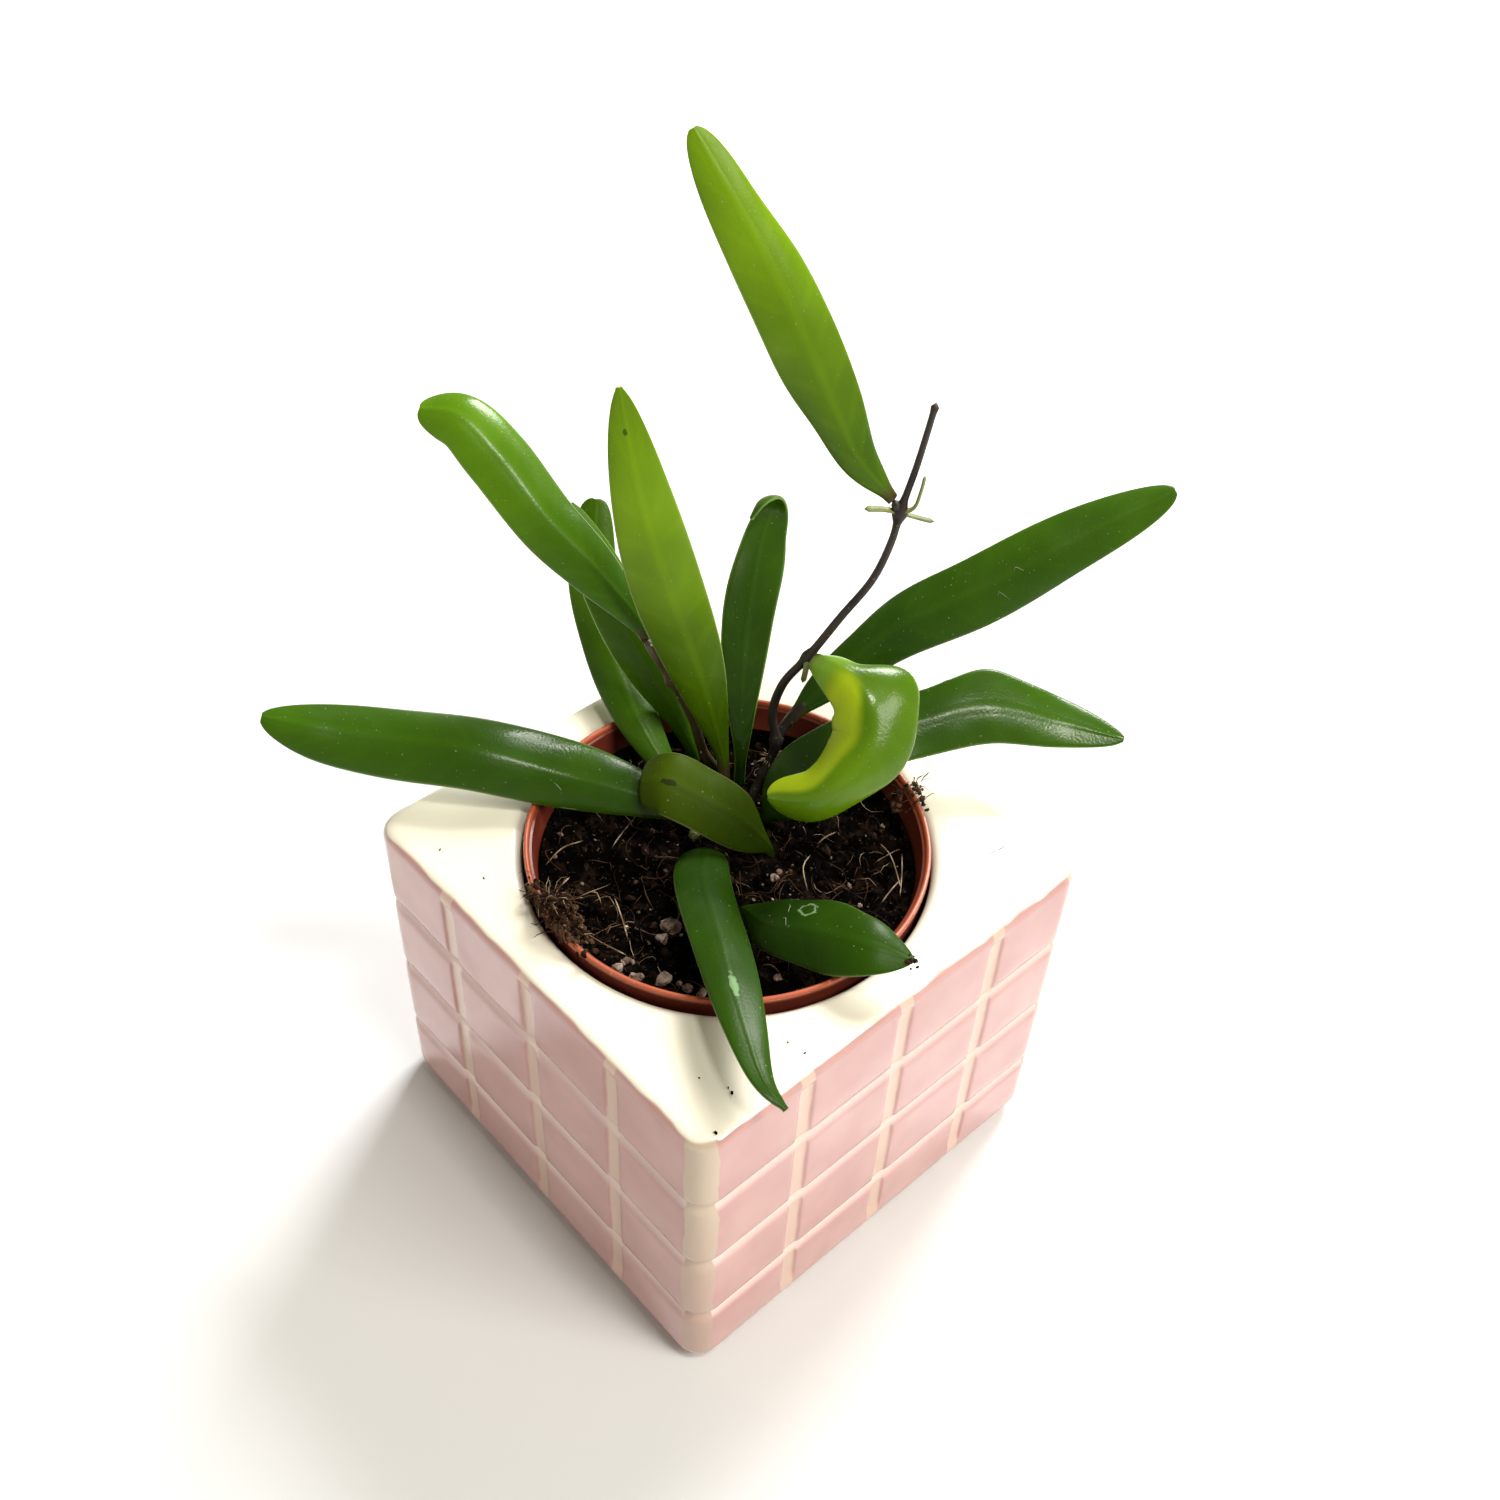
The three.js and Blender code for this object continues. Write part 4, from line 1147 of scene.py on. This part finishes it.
# %% Leaf form
LEAF_EDGE = 0.7
LEAF_MIDDLE = 1.8
STALK_WIDTH = 2.0
LEAF_ROWS = 56
LEAF_COLUMNS = 12
TIP_CROWDING = 1.5
MIDRIB_STATIONS = 160
RIPPLE_SHARE = 0.035
LEAST_HALF_WIDTH = 0.45


def leaf_form(spec):
    """Gives a function from a share of the length and a place across (-1 to 1) to the leaf there."""
    line = curve_through([spot(*stop) for stop in spec["spine"]], 32)
    length = sum((b - a).length for a, b in zip(line, line[1:])) / MM
    stalk = spec["stalk"] / length
    shares = [i / MIDRIB_STATIONS for i in range(MIDRIB_STATIONS + 1)]
    points, headings = walk(line, shares)
    middle = round((stalk + (1 - stalk) / 2) * MIDRIB_STATIONS)
    ups = [None] * len(shares)
    ups[middle] = square_to(aim(*spec["face"]), headings[middle])
    for i in range(middle + 1, len(shares)):
        ups[i] = square_to(ups[i - 1], headings[i])
    for i in range(middle - 1, -1, -1):
        ups[i] = square_to(ups[i + 1], headings[i])
    width, widest = spec["width"], spec.get("widest", 0.55)
    droop, skew = spec.get("droop", (0.22, 0.22)), spec.get("skew", (1, 1))
    ripples, wave = spec.get("ripples", 1.6), spec.get("wave", 0.5)
    lobes = spec.get("lobes", ())

    def at(share, across):
        station = min(share * MIDRIB_STATIONS, MIDRIB_STATIONS - 1e-6)
        i, part = int(station), station % 1
        centre = points[i].lerp(points[i + 1], part)
        heading = headings[i].lerp(headings[i + 1], part).normalized()
        up = square_to(ups[i].lerp(ups[i + 1], part), heading)
        along = (share - stalk) / (1 - stalk)
        blade = max(0.0, along)
        rise = math.sin(math.pi / 2 * min(1, blade / widest)) ** spec.get("base", 1.2)
        closing = math.sin(math.pi / 2 * min(1, (1 - blade) / (1 - widest))) ** spec.get("tip", 0.6)
        ripple = 1 + RIPPLE_SHARE * math.sin(math.tau * ripples * blade)
        half = STALK_WIDTH / 2 + (width / 2 - STALK_WIDTH / 2) * rise * ripple
        half = max(LEAST_HALF_WIDTH, half) * max(closing, 0.08)
        blade_share = min(1.0, 2 * half / width)
        hand = 0 if across < 0 else 1
        reach = half * (1 + (skew[hand] - 1) * blade_share)
        for lobe_hand, lobe_at, growth, span in lobes:
            reach += growth * math.exp(-(((along - lobe_at) / span) ** 2)) * (lobe_hand == hand)
        swing = wave * blade_share * across**2 * math.sin(math.tau * (ripples * blade + 0.2 * across))
        lift = swing - droop[hand] * half * across**2
        thick = LEAF_EDGE + (LEAF_MIDDLE * max(closing, 0.5) - LEAF_EDGE) * (1 - across**2)
        point = centre + (up.cross(heading) * reach * across + up * lift) * MM
        return point, up, thick, along

    return at


def leaf_piece(spec):
    at = leaf_form(spec)
    bm = bmesh.new()
    uv_layer = bm.loops.layers.uv.new("leaf_map")
    bmesh.ops.create_grid(bm, x_segments=LEAF_COLUMNS, y_segments=LEAF_ROWS, size=1.0)
    flesh = {}
    leaf_map = {}
    for vert in bm.verts:
        across = -vert.co.x
        share = 1 - (1 - (vert.co.y + 1) / 2) ** TIP_CROWDING
        point, _, thick, along = at(share, across)
        vert.co = point
        flesh[vert.index] = thick / LEAF_MIDDLE
        leaf_map[vert] = (0.5 + 0.5 * across, along)
    for face in bm.faces:
        for loop in face.loops:
            loop[uv_layer].uv = leaf_map[loop.vert]
    tint = spec["tint"]
    upper = leaf_finish(
        "upper_" + spec["name"], tint, spec.get("gloss", 1.0), spec.get("brown_stalk", False),
        marks=spec.get("marks", ()), lit_half=spec.get("lit_half", False),
    )
    finishes = [upper, under_finishes[tint], margin_finishes[tint]]
    piece = as_piece(spec["name"] + "_blade", bm, finishes, [spec["name"]])
    group = piece.vertex_groups.new(name="flesh")
    for index, share in flesh.items():
        group.add([index], share, "REPLACE")
    solid = piece.modifiers.new("flesh", "SOLIDIFY")
    solid.thickness = LEAF_MIDDLE * MM
    solid.offset = 0
    solid.vertex_group = "flesh"
    solid.material_offset = 1
    solid.material_offset_rim = 2
    subdivide(piece, 1)
    return piece


print("rows and columns of a leaf:", LEAF_ROWS, LEAF_COLUMNS)

# %% [markdown]
# ## Pieces: thirteen leaves
# The plant has two young lime leaves high up, glossy dark ones below, one curled leaf in front and
# one short leaf that is olive and matt. Each is listed by its midrib from stalk to tip,
# the way it faces, its width and the length of its stalk. Blemishes are places on the leaf's map.

# %% Leaf list
BURIED = 58.6
LEAVES = [
    dict(
        name="shoot_top_leaf", tint="lime", slot="lime_leaf", gloss=0.6, brown_stalk=True,
        spine=[
            (23, 21.7, 129.4), (20.7, 22, 131.8), (16.5, 22.5, 136.6), (11.8, 24, 145.5),
            (6.2, 26, 156.7), (-0.8, 29, 168.8), (-6.3, 31, 177.1), (-10, 33, 182.4),
        ],
        face=(0.15, -0.8, 0.58), width=11.4, stalk=2.2, widest=0.45, base=0.75, tip=0.42,
        lobes=((0, 0.78, -1.1, 0.13), (1, 0.22, -1.1, 0.13)),
    ),
    dict(
        name="centre_leaf", tint="lime", slot="lime_leaf", gloss=0.6, brown_stalk=True,
        spine=[
            (-1.6, 17, BURIED), (-1.6, 17, 66), (-2, 19.6, 70.5), (-5.9, 22, 86.2),
            (-12.6, 25, 105.8), (-17.4, 28, 121.8), (-21.1, 33, 139.7),
        ],
        face=(0.1, -0.8, 0.58), width=12.8, stalk=13, widest=0.5,
        lobes=((1, 0.75, -0.7, 0.15),),
        marks=[("spot", 0.55, 0.90, 0.06, 0.008, (0.02, 0.03, 0.01))],
    ),
    dict(
        name="upper_left_leaf", tint="mid", slot="green_leaf", brown_stalk=True,
        spine=[
            (-16.1, 24.9, 94.3), (-18.7, 26.8, 98.3), (-25.9, 31, 104.8), (-33.6, 35, 110.8),
            (-43.1, 42, 119), (-50.1, 46, 123.6), (-56.8, 47, 123.7),
        ],
        face=(0.2, -0.5, 0.84), width=12, stalk=2, droop=(0.3, 0.3), widest=0.6,
        tip=0.33, base=0.7, lobes=((1, 0.93, 0.9, 0.06),),
    ),
    dict(
        name="long_left_leaf", tint="dark", slot="dark_leaf",
        spine=[
            (4, 5.3, BURIED), (4, 5.3, 66), (-5.2, 5, 72.5), (-15.7, 6, 75.2),
            (-29.7, 8, 77.3), (-45.2, 9, 80.8), (-60.8, 10.4, 80.9), (-81, 10.4, 84.2),
        ],
        face=(0, -0.4, 0.92), width=13.6, stalk=14, droop=(0.35, 0.35), widest=0.6,
        tip=0.45, lobes=((0, 0.32, 1.9, 0.2), (1, 0.9, 0.7, 0.1)),
    ),
    dict(
        name="short_olive_leaf", tint="olive", slot="olive_leaf", gloss=0.0,
        spine=[
            (7.2, 3.6, BURIED), (7.2, 3.6, 66), (1.9, 3.5, 73.4), (-5.1, 4.5, 77.6),
            (-11.2, 5.5, 79.8), (-15.4, 6.5, 78),
        ],
        face=(0, -0.4, 0.92), width=11.8, stalk=8.5, base=0.75, tip=0.12, widest=0.55,
        lobes=((0, 0.1, -1.2, 0.15), (1, 0.15, 0.5, 0.2)),
        marks=[("spot", 0.52, 0.80, 0.05, 0.05, (0.012, 0.010, 0.006))],
    ),
    dict(
        name="back_round_leaf", tint="shaded", slot="green_leaf", gloss=0.7,
        spine=[
            (-8, 15.6, BURIED), (-8, 15.6, 66), (-13.2, 19, 71.2), (-19.6, 27.6, 76.4),
            (-25.2, 40.8, 79.7), (-28.8, 50, 88.3), (-28.8, 58, 98.9),
        ],
        face=(0.2, -0.8, 0.55), width=10.4, stalk=9.5, base=0.9, skew=(1, 0.94),
        tip=0.28, wave=0.3,
    ),
    dict(
        name="back_left_leaf", tint="mid", slot="dark_leaf", gloss=0.7,
        spine=[
            (-7.7, 24.6, BURIED), (-7.7, 24.6, 66), (-11.2, 26.8, 74.6), (-18.4, 30, 87.8),
            (-24.9, 35, 99.6), (-30.8, 41, 110.5),
        ],
        face=(0.3, -0.75, 0.6), width=9.6, base=1.5, stalk=9,
    ),
    dict(
        name="back_hooked_leaf", tint="dark", slot="dark_leaf",
        spine=[
            (1, 19.8, BURIED), (1, 19.8, 66), (1, 22, 73.2), (0.4, 29, 82.7), (0.9, 38, 93.8),
            (2.2, 45, 101.9), (3.6, 47.6, 106.4), (3.4, 47.4, 109.4), (1.8, 45.2, 109.8), (0.4, 43.8, 107.2),
        ],
        face=(0.1, -0.8, 0.55), width=9.8, stalk=12, droop=(-0.2, -0.2), tip=0.75,
        wave=0.3, lobes=((0, 0.66, 0.5, 0.12), (1, 0.72, -1, 0.15)),
        marks=[("spot", 0.3, 0.95, 0.22, 0.035, (0.12, 0.24, 0.03))],
    ),
    dict(
        name="upper_right_leaf", tint="dark", slot="green_leaf", gloss=0.7, brown_stalk=True,
        spine=[
            (8.5, 20.7, 79.8), (10.5, 22, 82.3), (15.9, 25, 87.7), (25.7, 30, 95.3),
            (40.7, 35, 101.8), (57.2, 41, 109.8), (72.7, 46, 117.2),
        ],
        face=(-0.1, -0.65, 0.75), width=12.7, stalk=4, tip=0.42, widest=0.5,
        base=0.72, lobes=((1, 0.22, -1.1, 0.1), (0, 0.72, -0.6, 0.15)),
    ),
    dict(
        name="curled_leaf", tint="fresh", slot="lime_leaf", gloss=1.15, brown_stalk=True,
        spine=[
            (12.6, 18.2, 98.6), (17.2, 13.6, 100.6), (21.9, 8.6, 99), (22.8, 3.9, 94.9),
            (19.4, -0.4, 91), (13.6, -2.8, 87.2), (6.4, -1.6, 85),
        ],
        face=(0.25, -0.5, 0.83), width=15.6, skew=(0.45, 1.3), stalk=1,
        droop=(0.5, 0.3), widest=0.6, tip=0.42, wave=0.3, lit_half=True,
        lobes=(
            (0, 0.05, 1.6, 0.09), (0, 0.15, 0.9, 0.08), (0, 0.36, 2.9, 0.2), (0, 0.6, 1.2, 0.15),
            (1, 0.18, -1.4, 0.07), (1, 0.29, 2.8, 0.08), (1, 0.7, -4.9, 0.21),
        ),
    ),
    dict(
        name="lower_right_leaf", tint="dark", slot="dark_leaf",
        spine=[
            (6.2, 11.6, BURIED), (6.2, 11.6, 66), (11.8, 12.4, 75), (20.1, 16, 80.5),
            (32.2, 21, 82.7), (44.4, 24.4, 83.9), (56.6, 23.6, 82.3), (68.2, 21.2, 81.3),
        ],
        face=(0, -0.5, 0.87), width=13, stalk=9, tip=0.55, droop=(0.1, 0.1), base=0.42,
        lobes=((1, 0.655, 1.2, 0.05), (1, 0.12, 1.6, 0.1), (0, 0.08, 1.4, 0.09), (1, 0.5, -0.6, 0.07)),
    ),
    dict(
        name="front_leaf", tint="deep", slot="dark_leaf", gloss=0.5,
        spine=[
            (-3.4, 2.4, BURIED), (-3.4, 2.4, 66), (-3.4, -9.8, 72), (0.2, -25.5, 76.5),
            (4.7, -43.2, 79.5), (8.5, -53.5, 79), (11.8, -56.7, 77.5),
        ],
        face=(0.22, -0.35, 0.9), width=10.6, stalk=8, widest=0.4, base=0.38,
        tip=0.7, droop=(0.15, 0.15),
        lobes=((0, 0.1, 0.8, 0.1), (0, 0.62, -0.8, 0.2)),
        marks=[("spot", 0.50, 0.64, 0.08, 0.042, (0.17, 0.33, 0.14))],
    ),
    dict(
        name="front_right_leaf", tint="deep", slot="dark_leaf", gloss=0.35,
        spine=[
            (3.4, -10.6, BURIED), (3.4, -10.6, 66), (8, -18, 72), (16.1, -22.2, 76.1),
            (24, -26.4, 78.7), (30.7, -28, 77.6),
        ],
        face=(0, -0.3, 0.95), width=13.6, stalk=9, tip=0.65,
        lobes=((0, 0.45, -0.7, 0.3), (1, 0.22, 1.2, 0.12), (1, 0.7, -0.9, 0.12)),
        marks=[("ring", 0.78, 0.44, 0.11, 0.05, (0.20, 0.32, 0.16))],
    ),
]

leaf_pieces = {spec["name"]: leaf_piece(spec) for spec in LEAVES}
print("leaves:", len(leaf_pieces))

# %% [markdown]
# ## Finish and pieces: stems
# Hoya stems turn from green to dark purple brown. Leaves leave them in pairs at swollen knots,
# and dry scale leaves stay there. A stem is a ring drawn out along a curve, and its radius swells
# where a knot is. The finish runs lengthwise streaks and pale pores over the bark.

# %% Stems


def bark_finish(name, dark, light, pore):
    finish, tree, shader = start_finish(name, Roughness=0.48, IOR=1.45)
    place = object_place(tree)
    streak = soft_step(cloud(place, 330.0, 3.0, (1.0, 1.0, 0.22)), 0.3, 0.75)
    pores = soft_step(cloud(place, 1100.0, 1.0), 0.68, 0.76)
    feed(shader.inputs["Base Color"], blend(pores, blend(streak, dark, light), pore))
    relief(shader, streak, 0.00018, 0.7)
    relief(shader, pores, 0.00012, 0.6)
    return finish


purple_bark = bark_finish("purple_bark", (0.008, 0.0055, 0.005), (0.034, 0.022, 0.017), (0.12, 0.09, 0.07))
pale_bark = bark_finish("specked_bark", (0.035, 0.026, 0.012), (0.10, 0.07, 0.035), (0.62, 0.58, 0.48))
scale_finish = bark_finish("scale_leaf", (0.10, 0.12, 0.03), (0.26, 0.30, 0.10), (0.16, 0.12, 0.05))
green_bark = bark_finish("cut_green_stem", (0.06, 0.10, 0.012), (0.17, 0.24, 0.04), (0.45, 0.46, 0.22))

VINE_BASE = (3.4, 15.8, 66)
LOW_KNOT = (5.4, 17.5, 70.8)
FORK_KNOT = (7.2, 19, 78)
MIDDLE_KNOT = (11.6, 20, 97.2)
TOP_KNOT = (24.2, 22, 127)
SHOOT_TIP = (27.9, 25, 145.7)


def vine_piece():
    bm = bmesh.new()
    path = [
        (3.4, 15.8, BURIED), VINE_BASE, LOW_KNOT, FORK_KNOT, (6.2, 20, 82.9), (7.7, 20, 90.6), MIDDLE_KNOT,
        (16.6, 20, 106.7), (21.1, 21, 114.1), (23.5, 22, 121.5), TOP_KNOT, (26, 23, 135.3), SHOOT_TIP,
    ]
    knots = [
        (LOW_KNOT, 0.4, 1.1), (FORK_KNOT, 0.5, 1.3), (MIDDLE_KNOT, 0.45, 1.2), (TOP_KNOT, 0.75, 1.5),
        (SHOOT_TIP, 0.3, 1.2),
    ]
    grow_stem(bm, path, 0.92, knots, thin=0.55)
    grow_stem(bm, [TOP_KNOT, (22.9, 21.7, 129.6)], 0.75, [(TOP_KNOT, 0.4, 1.0)])
    grow_stem(bm, [FORK_KNOT, (8.4, 20.4, 79.9), (10.6, 22, 82.5), (12.6, 23.1, 84.4)], 0.95)
    return as_piece("climbing_shoot", bm, [purple_bark], ["vine"])


def side_stem_piece():
    bm = bmesh.new()
    path = [
        (-2.7, 21.9, BURIED), (-2.7, 21.9, 66), (-5.3, 22, 69.6), (-7.7, 23, 77.3),
        (-11.7, 24, 86.2), (-15.4, 24, 93.4), (-16.4, 25, 94.8),
    ]
    grow_stem(bm, path, 0.85, [((-5.3, 22, 69.6), 0.2, 1.0), ((-11.7, 24, 86.2), 0.6, 1.3)])
    return as_piece("left_stem", bm, [pale_bark], ["side_stem"])


def cut_stub_piece():
    bm = bmesh.new()
    cut = (0.4, 12.8, 70.4)
    grow_stem(bm, [(0.6, 13.4, BURIED), (0.6, 13.4, 66), cut], 0.7, [(cut, 0.25, 0.6)], ends=(0.5, 0.8))
    return as_piece("green_stub", bm, [green_bark], ["cut_stub"])


stems = [vine_piece(), side_stem_piece(), cut_stub_piece()]
print("stem faces:", [len(o.data.polygons) for o in stems])

# %% [markdown]
# Small growths sit at the knots: three scale leaves at the top, a torn stalk that hangs from the
# middle knot, dry fibres below the fork, and a round bud on the mix. They are short stems
# too, flattened for the scale leaves, so the same helper makes them all.

# %% Scale leaves, torn stalk, knot fibres and bud
KNOT_FIBRES = 34


def growths_piece():
    bm = bmesh.new()
    scales = [
        ([TOP_KNOT, (21.6, 21.2, 128.0), (18.4, 20.4, 128.4)], 0.62),
        ([TOP_KNOT, (26.6, 21.6, 126.6), (29.8, 21.4, 126.0)], 0.55),
        ([TOP_KNOT, (26.2, 21.4, 128.4), (27.0, 21.6, 131.4), (27.4, 22, 134.4)], 0.72),
    ]
    for stops, radius in scales:
        grow_stem(bm, stops, radius, [(TOP_KNOT, -0.15, 1.0)], step=0.7, ends=(0.8, 0.15), flat=0.4)
    torn = [MIDDLE_KNOT, (11.4, 18.6, 95.6), (11.0, 18.4, 92.6)]
    grow_stem(bm, torn, 0.5, [(MIDDLE_KNOT, 0.3, 1.2)], ends=(0.8, 0.4))
    return as_piece("scale_leaves", bm, [scale_finish])


def knot_fibres_piece():
    draw = random.Random(8)
    bm = bmesh.new()
    for _ in range(KNOT_FIBRES):
        angle = draw.uniform(0, math.tau)
        start = Vector(FORK_KNOT) + Vector((-0.6, -0.7, -3.6))
        out = Vector((math.cos(angle), math.sin(angle), draw.uniform(-0.7, 0.7)))
        stops = [start + out * 0.9, start + out * 1.5, start + out * draw.uniform(1.7, 2.3)]
        grow_stem(bm, [tuple(stop) for stop in stops], 0.13, sides=4, step=0.5)
    return as_piece("knot_fibres", bm, [pale_fibre_finish])


def bud_piece():
    bm = bmesh.new()
    at = Matrix.Translation(spot(-6.1, 4.7, 67.6))
    bmesh.ops.create_icosphere(bm, subdivisions=3, radius=1.0 * MM, matrix=at)
    grow_stem(bm, [(-6.1, 4.9, 65.4), (-6.1, 4.8, 67.0)], 0.35, step=0.5)
    return as_piece("round_bud", bm, [scale_finish])


growths = [growths_piece(), knot_fibres_piece(), bud_piece()]
print("growth faces:", [len(o.data.polygons) for o in growths])

# %% [markdown]
# ## Small finds
# A real plant that has been handled is never clean. A few crumbs and one fibre lie on the white
# top of the planter, some mix sticks to the tip of the low right leaf, and lint lies on the
# blades. Lint is placed with the leaf's own form, so that it rests on the surface.

# %% Specks and lint
TIP_CRUMBS = 26
LINT_RADIUS = 0.045
PLANTER_SPECKS = [
    (-48.6, -5.6, 0.28), (-40.2, -11.2, 0.22), (-1.4, -47.8, 0.22), (3.7, -50.1, 0.32),
    (3.1, -49.2, 0.24), (1.8, -57.2, 0.3), (11.8, -40.2, 0.22), (14.5, -42.0, 0.2),
]
LINT = [
    ("long_left_leaf", 0.42, 0.62, 0.04), ("long_left_leaf", 0.30, 0.90, 0.03),
    ("front_right_leaf", 0.45, 0.30, 0.03), ("upper_right_leaf", 0.60, -0.30, 0.02),
    ("lower_right_leaf", 0.55, 0.85, 0.02),
]


def planter_specks_piece():
    draw = random.Random(3)
    bm = bmesh.new()
    for right, away, size in PLANTER_SPECKS:
        drop_lump(bm, draw, spot(right, away, PLANTER_HEIGHT + 0.5 * size), size, 0.7)
    grow_stem(bm, [(44.2, 1.0, 71.15), (46.9, 2.6, 71.3), (48.0, 4.0, 71.15)], 0.1, sides=4)
    return as_piece("planter_specks", bm, [crumb_finish])


def tip_soil_piece():
    draw = random.Random(17)
    bm = bmesh.new()
    for _ in range(TIP_CRUMBS):
        place = (draw.gauss(30.5, 0.6), draw.gauss(-28.1, 0.5), draw.gauss(77.6, 0.35))
        drop_lump(bm, draw, spot(*place), draw.uniform(0.2, 0.5))
    return as_piece("tip_crumbs", bm, [crumb_finish], smooth=False)


def lint_piece():
    draw = random.Random(29)
    bm = bmesh.new()
    forms = {spec["name"]: leaf_form(spec) for spec in LEAVES}
    for name, share, across, size in LINT:
        for _ in range(2):
            from_share = share + draw.uniform(-0.06, 0.06)
            from_across = across + draw.uniform(-0.5, 0.5)
            line = []
            for leg in range(4):
                leg_share = from_share + size * leg / 3
                leg_across = max(-0.98, min(0.98, from_across + 0.15 * math.sin(leg * 1.3 + draw.random())))
                point, up, thick, _ = forms[name](min(0.99, max(0.01, leg_share)), leg_across)
                line.append(point + up * (thick / 2 + 0.05) * MM)
            points, headings = walk(curve_through(line, 4), [i / 6 for i in range(7)])
            grow_tube(bm, points, headings, [LINT_RADIUS * MM] * len(points), 4)
    return as_piece("leaf_lint", bm, [lint_finish])


finds = [planter_specks_piece(), tip_soil_piece(), lint_piece()]
print("small finds:", [o.name for o in finds])
